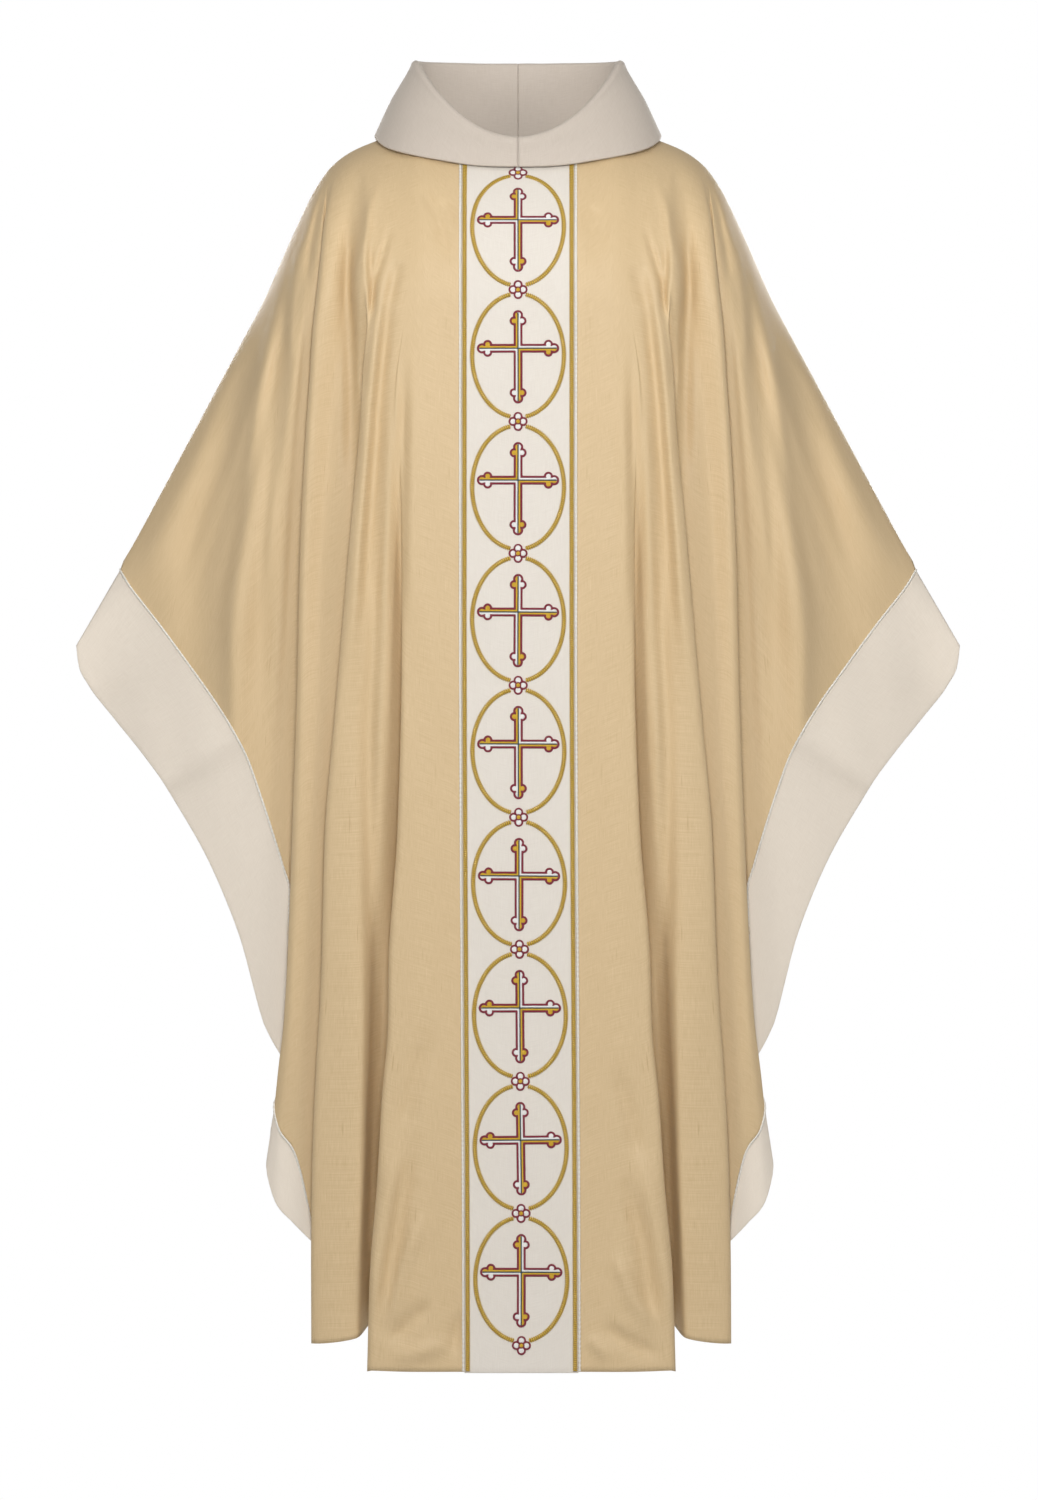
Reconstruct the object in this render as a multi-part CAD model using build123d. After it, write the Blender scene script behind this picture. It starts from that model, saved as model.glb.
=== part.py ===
"""Chasuble: a wide vestment without sleeves, with a roll collar, ivory sleeve bands and orphreys.

Millimetres. +Z is up, the front faces -Y and +X is the wearer's left. The origin is the centre of
the neck opening, level with the tops of the shoulder seams. Every cloth piece is a thin closed
shell. The body's sections lie in planes of constant X, the collar's in planes through the Z axis,
and ruled faces join them. The embroidery is raised from the cloth of the two orphreys.
"""
import math
import os

from build123d import *

# ---- driving dimensions ---------------------------------------------------------------------
CLOTH = 1.5               # body cloth, bands and orphreys
BACKING = 0.8             # canvas behind the orphreys
TRIM = 1.0                # height of cord, braid and embroidery above the cloth
GAP = 0.3                 # clearance between curved layers that thread alone holds together

NECK_SIDE = 95.0          # half width of the neck opening
NECK_FRONT = 100.0        # its reach in front of the origin
NECK_BACK = 62.0          # and behind it
CHEST_DEPTH = 178.0       # how far the front stands out once it hangs straight
CHEST_DROP = 197.0        # the height over which it curves out to that depth
BACK_SHARE = 0.86         # depth of the back over the depth of the front
FLARE = 0.018             # outward lean of the cloth where it hangs straight
HEM = -1300.0             # height of the front hem
BACK_RISE = 35.0          # the back hem ends this much higher
RISE_FROM = -700.0        # height from which the back's lower edge starts to rise

ORPHREY_HALF = 61.5
EDGE_CORD = 2.6           # ivory cord along each orphrey edge
BRAID = 4.2               # gold braid inside that cord
MEDALLIONS = 9
PITCH = 136.8             # medallion spacing along the cloth
FIRST_ROSETTE = 30.0      # from the neck seam to the first rosette, along the cloth
RING_HALF_WIDTH = 48.5
RING_HALF_HEIGHT = 65.0
RING_BAND = 4.0
CROSS_RAISE = 8.5         # the cross sits this far above its ring's centre
CROSS_SIDE = 42.7         # reach of the side arms
CROSS_UP = 39.6
CROSS_DOWN = 57.3
ARM_HALF = 4.4            # half width of a cross arm with its outline
OUTLINE = 1.5             # width of the cross outline
CENTRE_LINE = 1.1
END_BUD = 4.1             # radius of the bud at an arm's end
SIDE_BUD = 4.5            # radius of the pair of buds behind it
BUD_SET_BACK = 11.8
BUD_SPREAD = 4.2
PETAL = 4.1
PETAL_OFFSET = 5.0
PETAL_LINE = 1.2
ROSETTE_CORE = 2.4

COLLAR_CLOTH = 1.2
INTERLINING = 0.6
ROLL_SIDE = 107.0         # plan reach of the roll line to the side, front and back
ROLL_FRONT = 111.0
ROLL_BACK = 70.0
FALL_SIDE = 150.0         # plan reach of the collar's lower edge
FALL_FRONT = 124.0
FALL_BACK = 98.0
ROLL_LOW = -17.0          # height of the roll line at the centre front
ROLL_HIGH = 57.0          # and from the shoulders round the back
FALL_LIFT = 7.0           # the lower edge hangs this far above the cloth
COLLAR_STATIONS = 16      # sections of one half of the collar

TRIM_MARGIN = 8.0         # cord and braid stop this far from the neckline, under the collar
TAPE_HALF = 5.0
TAPE = 0.8

RIDGE_STEP = 0.05         # least fall between points of the inner face under a ridge
WALK_STEP = 0.5           # step in height when cloth length is measured down the centre line
STAMP_REACH = 40.0        # half length of the prisms that cut the embroidery's outlines

# ---- body outline ---------------------------------------------------------------------------
# For each station along X: top of the cloth, seam of the sleeve band, bottom edge, depth that the
# front reaches, the drop over which it reaches it, and how sharp the ridge at the top is.
BODY = {
    ORPHREY_HALF: (0, HEM, HEM, CHEST_DEPTH, CHEST_DROP, 1.0),
    74.0: (0, HEM, HEM, CHEST_DEPTH, CHEST_DROP, 1.0),
    84.0: (0, HEM, HEM, CHEST_DEPTH, CHEST_DROP, 1.0),
    91.0: (0, HEM, HEM, CHEST_DEPTH, CHEST_DROP, 1.0),
    NECK_SIDE: (0, HEM, HEM, CHEST_DEPTH, CHEST_DROP, 1.0),
    125.0: (-9, -1299, -1299, 174, 202, 1.0),
    150.0: (-18, -1296, -1296, 169, 200, 1.0),
    175.0: (-29, -1288, -1288, 162, 192, 1.0),
    195.0: (-50, -1270, -1277, 154, 184, 1.0),
    210.0: (-76, -1175, -1265, 147, 176, 1.0),
    222.0: (-100, -1060, -1240, 141, 168, 1.0),
    235.0: (-123, -880, -1190, 134, 160, 1.0),
    250.0: (-150, -757, -1120, 126, 152, 1.0),
    268.0: (-186, -700, -955, 116, 142, 1.1),
    290.0: (-229, -653, -852, 104, 130, 1.2),
    335.0: (-313, -580, -742, 80, 105, 1.3),
    380.0: (-397, -519, -672, 55, 82, 1.4),
    405.0: (-443, -484, -646, 40, 68, 1.5),
    438.0: (-497, -530, -604, 20, 44, 1.7),
    467.0: (-541, -552, -562, 7, 16, 1.8),
}
STATIONS = sorted(BODY)
BAND_START = 195.0        # the sleeve band runs from here out to the tip
BAND_TIP = 405.0          # beyond here all the cloth is sleeve band
CURVE_STEPS = 9
STRAIGHT_STEPS = 4
BAND_STEPS = 5


def body_row(x):
    """The body outline's values at any x, interpolated between its stations."""
    if x <= STATIONS[0]:
        return BODY[STATIONS[0]]
    upper = next(i for i, station in enumerate(STATIONS) if station >= min(x, STATIONS[-1]))
    a, b = STATIONS[upper - 1], STATIONS[upper]
    share = (x - a) / (b - a)
    return tuple(p + (q - p) * share for p, q in zip(BODY[a], BODY[b]))


def lower_edge(z, side):
    """Height of a low point of the outline: the front's own, or raised a little for the back."""
    if side < 0 or z > RISE_FROM:
        return z
    return z + BACK_RISE * (RISE_FROM - z) / (RISE_FROM - HEM)


def cloth_y(x, z, side):
    """Y of the cloth's outer face at height z; side is -1 for the front and 1 for the back."""
    top, _, _, depth, drop, sharpness = body_row(x)
    depth *= 1 if side < 0 else BACK_SHARE
    fall = min(max((top - z) / drop, 0), 1)
    bulge = math.sqrt(1 - (1 - fall) ** 2) ** sharpness
    return side * (depth * bulge + FLARE * max(top - drop - z, 0))


def cloth_z(x, y):
    """Height of the cloth's outer face near the neck and shoulders at (x, y)."""
    top, _, _, depth, drop, sharpness = body_row(x)
    depth *= 1 if y < 0 else BACK_SHARE
    bulge = (abs(y) / depth) ** (1 / sharpness)
    return top - drop * (1 - math.sqrt(1 - bulge ** 2))


def neck_start(x, side):
    """Height at which the cloth begins: on the neckline's ellipse, or on the shoulder ridge."""
    if x >= NECK_SIDE:
        return body_row(x)[0]
    reach = NECK_FRONT if side < 0 else NECK_BACK
    return cloth_z(x, side * reach * math.sqrt(1 - (x / NECK_SIDE) ** 2))


def offset_path(path, distance):
    """The path moved sideways; a positive distance is to the left of its direction."""
    moved = []
    for i, (a, b) in enumerate(path):
        before, after = path[max(i - 1, 0)], path[min(i + 1, len(path) - 1)]
        along, up = after[0] - before[0], after[1] - before[1]
        length = math.hypot(along, up)
        moved.append((a - distance * up / length, b + distance * along / length))
    return moved


def steps(start, end, count):
    """Count values after start, evenly spaced, the last of them end."""
    return [start + (end - start) * i / count for i in range(1, count + 1)]


def gold_heights(x, side):
    """Heights down the gold cloth at station x, close together over the curve at the top."""
    top, seam, _, _, drop, _ = body_row(x)
    seam = lower_edge(seam, side)
    start = neck_start(x, side)
    curve_end = max(top - drop, start - 0.6 * (start - seam))
    first = math.acos(min((start - (top - drop)) / drop, 1))
    last = math.acos(max((curve_end - (top - drop)) / drop, 0))
    angles = [first] + steps(first, last, CURVE_STEPS)
    curve = [top - drop + drop * math.cos(angle) for angle in angles]
    return curve + steps(curve_end, seam, STRAIGHT_STEPS)


def inner_path(outer, side, from_ridge):
    """The cloth's inner face. Under a ridge it starts on the plane y = 0, where both faces meet."""
    inner = offset_path(outer, -side * CLOTH)
    if not from_ridge:
        return inner
    (y_0, z_0), (y_1, z_1) = outer[:2]
    level = z_0 - CLOTH * math.hypot(y_1 - y_0, z_1 - z_0) / abs(y_1 - y_0)
    path = [(0, level)]
    for y, z in inner[1:]:
        level = min(z, level - RIDGE_STEP)
        path.append((side * max(side * y, 0), level))
    return path


def cloth_path(x, side, part):
    """Outer and inner (y, z) paths of the cloth at station x: its gold part, its band or the whole."""
    _, seam, bottom, _, _, _ = body_row(x)
    heights = gold_heights(x, side)
    if x >= BAND_START:
        heights += steps(lower_edge(seam, side), lower_edge(bottom, side), BAND_STEPS)
    outer = [(cloth_y(x, z, side), z) for z in heights]
    inner = inner_path(outer, side, x >= NECK_SIDE)
    seam = CURVE_STEPS + STRAIGHT_STEPS
    cut = {"gold": slice(0, seam + 1), "band": slice(seam, None), "whole": slice(0, None)}[part]
    return outer[cut], inner[cut]


def section(x, outer, inner):
    """The closed outline between two (y, z) paths, in the plane of constant x."""
    return Wire.make_polygon([(x, y, z) for y, z in outer + inner[::-1]], close=True)


def cloth_shell(first, last, side, part):
    """One cloth piece on the +X half, from station first to station last."""
    stations = [x for x in STATIONS if first <= x <= last]
    return Solid.make_loft([section(x, *cloth_path(x, side, part)) for x in stations], ruled=True)


def band_shell(side):
    """Sleeve band: a strip below the seam, widening to the whole cloth at the sleeve's tip."""
    strip = cloth_shell(BAND_START, BAND_TIP, side, "band")
    tip = cloth_shell(BAND_TIP, STATIONS[-1], side, "whole")
    return strip.fuse(tip)


def band_piping(side):
    """Thin piping lying on the seam between the gold cloth and the sleeve band."""
    wires = []
    for x in [x for x in STATIONS if BAND_START <= x <= BAND_TIP]:
        seam = lower_edge(body_row(x)[1], side)
        line = [(cloth_y(x, z, side), z) for z in (seam + 1.5, seam, seam - 1.5)]
        wires.append(section(x, offset_path(line, side * (GAP + TRIM)), offset_path(line, side * GAP)))
    return Solid.make_loft(wires, ruled=True)


# ---- orphreys -------------------------------------------------------------------------------
def centre_profile(side):
    """Outer (y, z) path of the cloth down the orphrey, the same all across its width."""
    heights = gold_heights(ORPHREY_HALF, side)[: CURVE_STEPS + 1] + [lower_edge(HEM, side)]
    return [(cloth_y(ORPHREY_HALF, z, side), z) for z in heights]


def centre_layer(side, low, high, x_from, x_to, margin=0):
    """A layer along the orphrey's profile, from low to high above the cloth, clear of the neck."""
    profile = centre_profile(side)
    outer, inner = offset_path(profile, side * high), offset_path(profile, side * low)
    layer = Solid.extrude(Face(section(x_from, outer, inner)), Vector(x_to - x_from, 0, 0))
    reach = NECK_FRONT if side < 0 else NECK_BACK
    tall = extrude(Ellipse(NECK_SIDE + margin, reach + margin), CHEST_DROP, both=True)
    return layer - tall


def plane_at(side, length):
    """Plane touching the cloth on its centre line, a given length of cloth below the neckline."""
    reach = NECK_FRONT if side < 0 else NECK_BACK
    y, z = side * reach, cloth_z(0, side * reach)
    walked = 0.0
    while walked < length:
        last_y, last_z = y, z
        z -= WALK_STEP
        y = cloth_y(0, z, side)
        walked += math.hypot(y - last_y, z - last_z)
    outward = (0, side * (last_z - z), side * (y - last_y))
    return Plane(origin=(0, y, z), x_dir=(-side, 0, 0), z_dir=outward)


def cross(inset):
    """Budded cross with its long arm down; inset takes the same margin off all round it."""
    half = ARM_HALF - inset
    shape = Sketch()
    for turn, reach in ((0, CROSS_UP), (90, CROSS_SIDE), (180, CROSS_DOWN), (270, CROSS_SIDE)):
        arm = Pos(0, reach / 2 - END_BUD / 2) * Rectangle(2 * half, reach - END_BUD)
        arm += Pos(0, reach - END_BUD) * Circle(END_BUD - inset)
        for spread in (-BUD_SPREAD, BUD_SPREAD):
            arm += Pos(spread, reach - BUD_SET_BACK) * Circle(SIDE_BUD - inset)
        shape += Rot(0, 0, turn) * arm
    return shape


def quarters(sign):
    """Two opposite quarters of the plane: upper left with lower right, or the other two."""
    size = 2 * CROSS_DOWN
    upper = Pos(-sign * size / 2, size / 2) * Rectangle(size, size)
    lower = Pos(sign * size / 2, -size / 2) * Rectangle(size, size)
    return upper + lower


def petals(grow):
    """Four round petals about a point."""
    shape = Sketch()
    for turn in range(4):
        shape += Rot(0, 0, 90 * turn) * Pos(0, PETAL_OFFSET) * Circle(PETAL + grow)
    return shape


def embroidery_motifs():
    """Flat outlines of one cross and one rosette, by name."""
    lines = Rectangle(CENTRE_LINE, 3 * CROSS_DOWN) + Rectangle(3 * CROSS_DOWN, CENTRE_LINE)
    inner = cross(OUTLINE)
    return {
        "cross_outlines": cross(0) - inner,
        "cross_gold_fills": (inner - lines) & quarters(1),
        "cross_white_fills": (inner - lines) & quarters(-1),
        "cross_centre_lines": inner & lines,
        "rosette_outlines": petals(PETAL_LINE) - petals(0) - Circle(ROSETTE_CORE),
        "rosette_petals": petals(0) - Circle(ROSETTE_CORE),
        "rosette_centres": Circle(ROSETTE_CORE),
    }


def stamps(side, lengths, outline):
    """Tall prisms of an outline, square to the cloth at each length down the orphrey."""
    return [extrude(plane_at(side, length) * outline, STAMP_REACH, both=True) for length in lengths]


def embroider(side, lengths, outline):
    """An outline raised from the orphrey at each length down it, as high as the embroidery stands."""
    layer = centre_layer(side, 0, TRIM, -ORPHREY_HALF, ORPHREY_HALF)
    raised = []
    for stamp in stamps(side, lengths, outline):
        raised += (layer & stamp).solids()
    return Compound(raised)


def embroidery(side):
    """Every embroidered sub-part of one orphrey, by name."""
    profile = centre_profile(side)
    room = sum(math.dist(a, b) for a, b in zip(profile, profile[1:])) - 2 * PETAL_OFFSET
    rosettes = [FIRST_ROSETTE + PITCH * i for i in range(MEDALLIONS + 1)]
    rosettes = [length for length in rosettes if length < room]
    rings = [FIRST_ROSETTE + PITCH * (i + 0.5) for i in range(MEDALLIONS)]
    crosses = [length - CROSS_RAISE for length in rings]
    made = {}
    for name, outline in embroidery_motifs().items():
        made[name] = embroider(side, crosses if name.startswith("cross") else rosettes, outline)
    oval = Ellipse(RING_HALF_WIDTH, RING_HALF_HEIGHT)
    oval -= Ellipse(RING_HALF_WIDTH - RING_BAND, RING_HALF_HEIGHT - RING_BAND)
    whole_rings = embroider(side, rings, oval)
    made["medallion_rings"] = whole_rings - stamps(side, rosettes, petals(PETAL_LINE))
    return made


# ---- collar and tapes -----------------------------------------------------------------------
def plan_reach(angle, across, front, back, squareness):
    """Distance from the Z axis to a rounded outline, at an angle measured from the centre front."""
    along = front if math.cos(angle) > 0 else back
    sides = abs(math.sin(angle) / across) ** squareness
    ends = abs(math.cos(angle) / along) ** squareness
    return (sides + ends) ** (-1 / squareness)


def radial_point(angle, radius, z):
    """The point at a radius and height in the half plane at an angle from the centre front."""
    return radius * math.sin(angle), -radius * math.cos(angle), z


def collar_path(angle):
    """(radius, z) path of the collar's show side: up from the neck seam, over the roll, down."""
    neck = plan_reach(angle, NECK_SIDE, NECK_FRONT, NECK_BACK, 2) + 1
    x, y, _ = radial_point(angle, neck, 0)
    base = cloth_z(abs(x), y) + GAP
    roll = plan_reach(angle, ROLL_SIDE, ROLL_FRONT, ROLL_BACK, 2.1)
    rise = math.sin(angle) ** 2 if math.cos(angle) > 0 else 1
    top = ROLL_LOW + (ROLL_HIGH - ROLL_LOW) * rise
    edge = plan_reach(angle, FALL_SIDE, FALL_FRONT, FALL_BACK, 3)
    x, y, _ = radial_point(angle, edge, 0)
    low = cloth_z(abs(x), y) + FALL_LIFT
    stand = [(neck, base), (neck + 0.45 * (roll - 5 - neck), base + 0.5 * (top - 6 - base))]
    turn = [(roll - 5, top - 6), (roll - 3.5, top - 1.8), (roll, top), (roll + 3.8, top - 2)]
    bulge = (roll + 6 + 0.5 * (edge - roll - 6) + 3, top - 8 + 0.5 * (low - top + 8) + 2)
    return stand + turn + [(roll + 6.5, top - 8), bulge, (edge, low)]


def collar_layer(depth, thickness):
    """One half of one layer of the collar, starting at a depth below its show side."""
    wires = []
    for i in range(COLLAR_STATIONS + 1):
        angle = math.pi * i / COLLAR_STATIONS
        path = collar_path(angle)
        outline = offset_path(path, -depth) + offset_path(path, -depth - thickness)[::-1]
        wires.append(Wire.make_polygon([radial_point(angle, r, z) for r, z in outline], close=True))
    return Solid.make_loft(wires, ruled=True)


def shoulder_tape():
    """Stay tape along the inside of one shoulder seam."""
    wires = []
    for x in [x for x in STATIONS if NECK_SIDE < x < 300]:
        ridge = body_row(x)[0] - CLOTH - GAP
        edge = min(cloth_z(x, TAPE_HALF), cloth_z(x, -TAPE_HALF)) - CLOTH - 2 * GAP
        top = [(-TAPE_HALF, edge), (0, ridge), (TAPE_HALF, edge)]
        wires.append(section(x, top, [(y, z - TAPE) for y, z in top]))
    return Solid.make_loft(wires, ruled=True)


def neck_tape():
    """Stay tape round one half of the neckline, on the inside of the cloth."""
    wires = []
    for i in range(COLLAR_STATIONS + 1):
        angle = math.pi * i / COLLAR_STATIONS
        neck = plan_reach(angle, NECK_SIDE, NECK_FRONT, NECK_BACK, 2)
        top = []
        for radius in (neck + GAP, neck + GAP + TAPE_HALF):
            x, y, _ = radial_point(angle, radius, 0)
            top.append((radius, cloth_z(abs(x), y) - 2 * CLOTH - BACKING))
        outline = top + [(radius, z - TAPE) for radius, z in top[::-1]]
        wires.append(Wire.make_polygon([radial_point(angle, r, z) for r, z in outline], close=True))
    return Solid.make_loft(wires, ruled=True)


# ---- all nodes ------------------------------------------------------------------------------
def both_sides(shape):
    """A piece made for the wearer's left, with its mirror image for the right."""
    return {"left": shape, "right": mirror(shape, about=Plane.YZ)}


def build():
    """Every node of the chasuble, by name."""
    nodes = {}
    for face, side in (("front", -1), ("back", 1)):
        for hand, shape in both_sides(cloth_shell(STATIONS[0], BAND_TIP, side, "gold")).items():
            nodes[f"{face}_{hand}_panel"] = shape
        for hand, shape in both_sides(band_shell(side)).items():
            nodes[f"{face}_{hand}_sleeve_band"] = shape
        for hand, shape in both_sides(band_piping(side)).items():
            nodes[f"{face}_{hand}_band_piping"] = shape
        cord_from = ORPHREY_HALF - EDGE_CORD
        cord = centre_layer(side, 0, 1.5 * TRIM, cord_from, ORPHREY_HALF, TRIM_MARGIN)
        for hand, shape in both_sides(cord).items():
            nodes[f"{face}_{hand}_orphrey_cord"] = shape
        braid = centre_layer(side, 0, 1.3 * TRIM, cord_from - BRAID, cord_from, TRIM_MARGIN)
        for hand, shape in both_sides(braid).items():
            nodes[f"{face}_{hand}_orphrey_braid"] = shape
        nodes[f"{face}_orphrey"] = centre_layer(side, -CLOTH, 0, -ORPHREY_HALF, ORPHREY_HALF)
        backing_half = ORPHREY_HALF - EDGE_CORD
        backing = centre_layer(side, -CLOTH - BACKING, -CLOTH, -backing_half, backing_half)
        nodes[f"{face}_orphrey_backing"] = backing
        for name, shape in embroidery(side).items():
            nodes[f"{face}_{name}"] = shape

    layers = {"show": (0, COLLAR_CLOTH), "interlining": (COLLAR_CLOTH, INTERLINING),
              "under": (COLLAR_CLOTH + INTERLINING, COLLAR_CLOTH)}
    for name, (depth, thickness) in layers.items():
        for hand, shape in both_sides(collar_layer(depth, thickness)).items():
            nodes[f"collar_{hand}_{name}"] = shape
    for hand, shape in both_sides(shoulder_tape()).items():
        nodes[f"{hand}_shoulder_tape"] = shape
    half = neck_tape()
    nodes["neck_tape"] = half.fuse(mirror(half, about=Plane.YZ))
    return nodes


os.makedirs("parts", exist_ok=True)
for node, solid in build().items():
    export_step(solid, f"parts/{node}.step")
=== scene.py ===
"""Looks of the chasuble: pleated silk, ivory bands, a rolled collar and the embroidered orphreys.

Metres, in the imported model's frame: +Z up, the front faces -Y, the origin at the centre of the neck.
Each cloth sheet is laid out in the plane of the front view (x across, z up), where its pleats pass
over each other, and takes its depth from the garment's overall form plus the relief of its folds.
"""
import math

import bmesh
import bpy
import numpy as np
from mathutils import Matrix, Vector


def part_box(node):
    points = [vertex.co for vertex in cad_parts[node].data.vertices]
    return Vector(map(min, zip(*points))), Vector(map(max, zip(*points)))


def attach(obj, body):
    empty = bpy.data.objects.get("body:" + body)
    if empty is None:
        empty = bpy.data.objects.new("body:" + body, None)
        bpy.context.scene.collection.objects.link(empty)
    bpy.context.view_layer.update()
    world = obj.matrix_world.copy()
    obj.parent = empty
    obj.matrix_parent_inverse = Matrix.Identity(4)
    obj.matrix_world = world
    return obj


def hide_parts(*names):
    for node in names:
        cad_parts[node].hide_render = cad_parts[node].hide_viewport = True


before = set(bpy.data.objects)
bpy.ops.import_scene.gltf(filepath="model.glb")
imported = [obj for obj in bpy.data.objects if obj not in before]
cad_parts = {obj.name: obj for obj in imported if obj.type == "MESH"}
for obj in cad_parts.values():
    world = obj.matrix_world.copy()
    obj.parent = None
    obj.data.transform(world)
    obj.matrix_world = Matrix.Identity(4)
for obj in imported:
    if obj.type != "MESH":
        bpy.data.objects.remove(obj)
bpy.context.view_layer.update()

MM = 0.001
FRONT, BACK = -1, 1                      # which way each face looks along Y
HANDS = ((1, "left"), (-1, "right"))     # the wearer's left half lies at +X

# ---- sizes ----
ORPHREY_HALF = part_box("front_orphrey")[1].x - 2.5 * MM   # where the strip meets the silk beside it
HEM = {FRONT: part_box("front_orphrey")[0].z, BACK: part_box("back_orphrey")[0].z}
NECK_SIDE = 95 * MM                      # reach of the neckline to each side
NECK_REACH = {FRONT: 100 * MM, BACK: 62 * MM}
CLOTH = 1.1 * MM                         # thickness of the silk and the crepe
FLARE = 0.018                            # how far the cloth leans out for each metre it hangs
DEPTH_SHARE = {FRONT: 1, BACK: 0.86}     # the back is shallower than the front

# ---- the garment's overall form ----
# Across the front view: height of the shoulder line, depth of the front, and the drop over which
# the cloth curves out to that depth, in millimetres, with the sharpness of the ridge.
FORM_X = np.array([0, 95, 125, 150, 175, 195, 210, 235, 268, 290, 335, 380, 405, 438, 467]) * MM
FORM_TOP = np.array([0, 0, -9, -18, -29, -44, -64, -114, -188, -229, -313, -397, -443, -497, -547]) * MM
FORM_DEPTH = np.array([178, 178, 174, 169, 162, 154, 147, 134, 116, 104, 80, 55, 40, 20, 7]) * MM
FORM_DROP = np.array([197, 197, 200, 196, 182, 168, 154, 130, 106, 94, 74, 57, 46, 30, 12]) * MM
FORM_SHARP = np.array([1, 1, 1, 1, 1, 1, 1, 1, 1.1, 1.2, 1.3, 1.4, 1.5, 1.7, 1.8])

# The wings hang from the arms: this share of their depth comes only over this longer drop.
WING_FROM, WING_FULL = 0.18, 0.32
WING_DROP, WING_SHARE = 0.32, 0.55


def form(x):
    """Shoulder height, depth, drop and sharpness of the form at |x|."""
    x = np.abs(x)
    return [np.interp(x, SMOOTH_X, row) for row in SMOOTH_FORM]


def form_y(x, z, side):
    """Y of the garment's overall form at (x, z), before folds."""
    top, depth, drop, sharp = form(x)
    depth = depth * DEPTH_SHARE[side]
    fall = np.clip((top - z) / drop, 0, 1)
    bulge = np.sqrt(1 - (1 - fall) ** 2) ** sharp
    hang = np.sin(math.pi / 2 * np.clip((top - z) / WING_DROP, 0, 1))
    wing = WING_SHARE * smoothstep(WING_FROM, WING_FULL, np.abs(x))
    return side * (depth * ((1 - wing) * bulge + wing * hang) + FLARE * np.maximum(top - drop - z, 0))


def neck_z(x, side):
    """Height of the neckline above x, on the overall form."""
    across = np.sqrt(np.clip(1 - (x / NECK_SIDE) ** 2, 0, 1))
    top, depth, drop, _ = form(x)
    depth = depth * DEPTH_SHARE[side]
    return top - drop * (1 - np.sqrt(1 - (NECK_REACH[side] * across / depth) ** 2))


# ---- curves and grids ----
def smoothstep(a, b, x):
    """0 up to a, 1 from b on, and smooth between."""
    t = np.clip((x - a) / (b - a), 0, 1)
    return t * t * (3 - 2 * t)


def running(steps):
    """The running total of steps, from 0."""
    return np.concatenate([[0], np.cumsum(steps)])


def path_length(path):
    """Length along the path up to each of its points."""
    return running(np.linalg.norm(np.diff(path, axis=0), axis=1))


def unit(vectors):
    return vectors / np.maximum(np.linalg.norm(vectors, axis=-1, keepdims=True), 1e-12)


def slopes(t, y):
    """Tangents of the smooth curve through y at t that never overshoots (monotone cubic)."""
    h = np.diff(t)
    d = np.diff(y, axis=0) / h[:, None]
    m = np.zeros_like(y)
    same = d[1:] * d[:-1] > 0
    w1, w2 = (2 * h[1:] + h[:-1])[:, None], (h[1:] + 2 * h[:-1])[:, None]
    with np.errstate(divide="ignore", invalid="ignore"):
        mean = (w1 + w2) / (w1 / d[:-1] + w2 / d[1:])
    m[1:-1] = np.where(same, mean, 0)
    m[0], m[-1] = d[0], d[-1]
    return m


def smooth_through(t, y, at):
    """Values at `at` of the smooth curve through y at t; y may have several columns."""
    flat = y.reshape(len(t), -1)
    m = slopes(t, flat)
    i = np.clip(np.searchsorted(t, at, side="right") - 1, 0, len(t) - 2)
    h = (t[i + 1] - t[i])[:, None]
    s = (at[:, None] - t[i][:, None]) / h
    a, b = flat[i], flat[i + 1]
    out = (a * (1 + 2 * s) * (1 - s) ** 2 + m[i] * h * s * (1 - s) ** 2
           + b * s * s * (3 - 2 * s) + m[i + 1] * h * s * s * (s - 1))
    return out.reshape((len(at),) + y.shape[1:])


SMOOTH_X = np.linspace(FORM_X[0], FORM_X[-1], 400)
SMOOTH_FORM = smooth_through(FORM_X, np.stack([FORM_TOP, FORM_DEPTH, FORM_DROP, FORM_SHARP], -1),
                             SMOOTH_X).T

TOP_SHARE = 0.3                          # share of the rows that crowd towards the shoulder line


def row_shares(count):
    """How far down its rail each row lies, from 0 to 1, crowded near the top where cloth lies flat."""
    v = np.linspace(0, 1, count)
    gain = 1 / (1 - TOP_SHARE / 2)
    return np.where(v < TOP_SHARE, gain * v * v / (2 * TOP_SHARE), gain * (v - TOP_SHARE / 2))


def make_mesh(name, verts, faces, cloth):
    """A smooth-shaded mesh object; cloth gives each point its place on the flat cloth, in metres."""
    mesh = bpy.data.meshes.new(name)
    mesh.from_pydata([tuple(v) for v in verts], [], [tuple(f) for f in faces])
    layer = mesh.attributes.new("cloth", "FLOAT_VECTOR", "POINT")
    layer.data.foreach_set("vector", np.asarray(cloth, dtype=np.float32).ravel())
    mesh.validate()
    mesh.shade_smooth()
    obj = bpy.data.objects.new(name, mesh)
    bpy.context.scene.collection.objects.link(obj)
    return obj


def grid_normals(points):
    """Unit normals of a grid of points, rows by columns by 3."""
    return unit(np.cross(np.gradient(points, axis=1), np.gradient(points, axis=0)))


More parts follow.
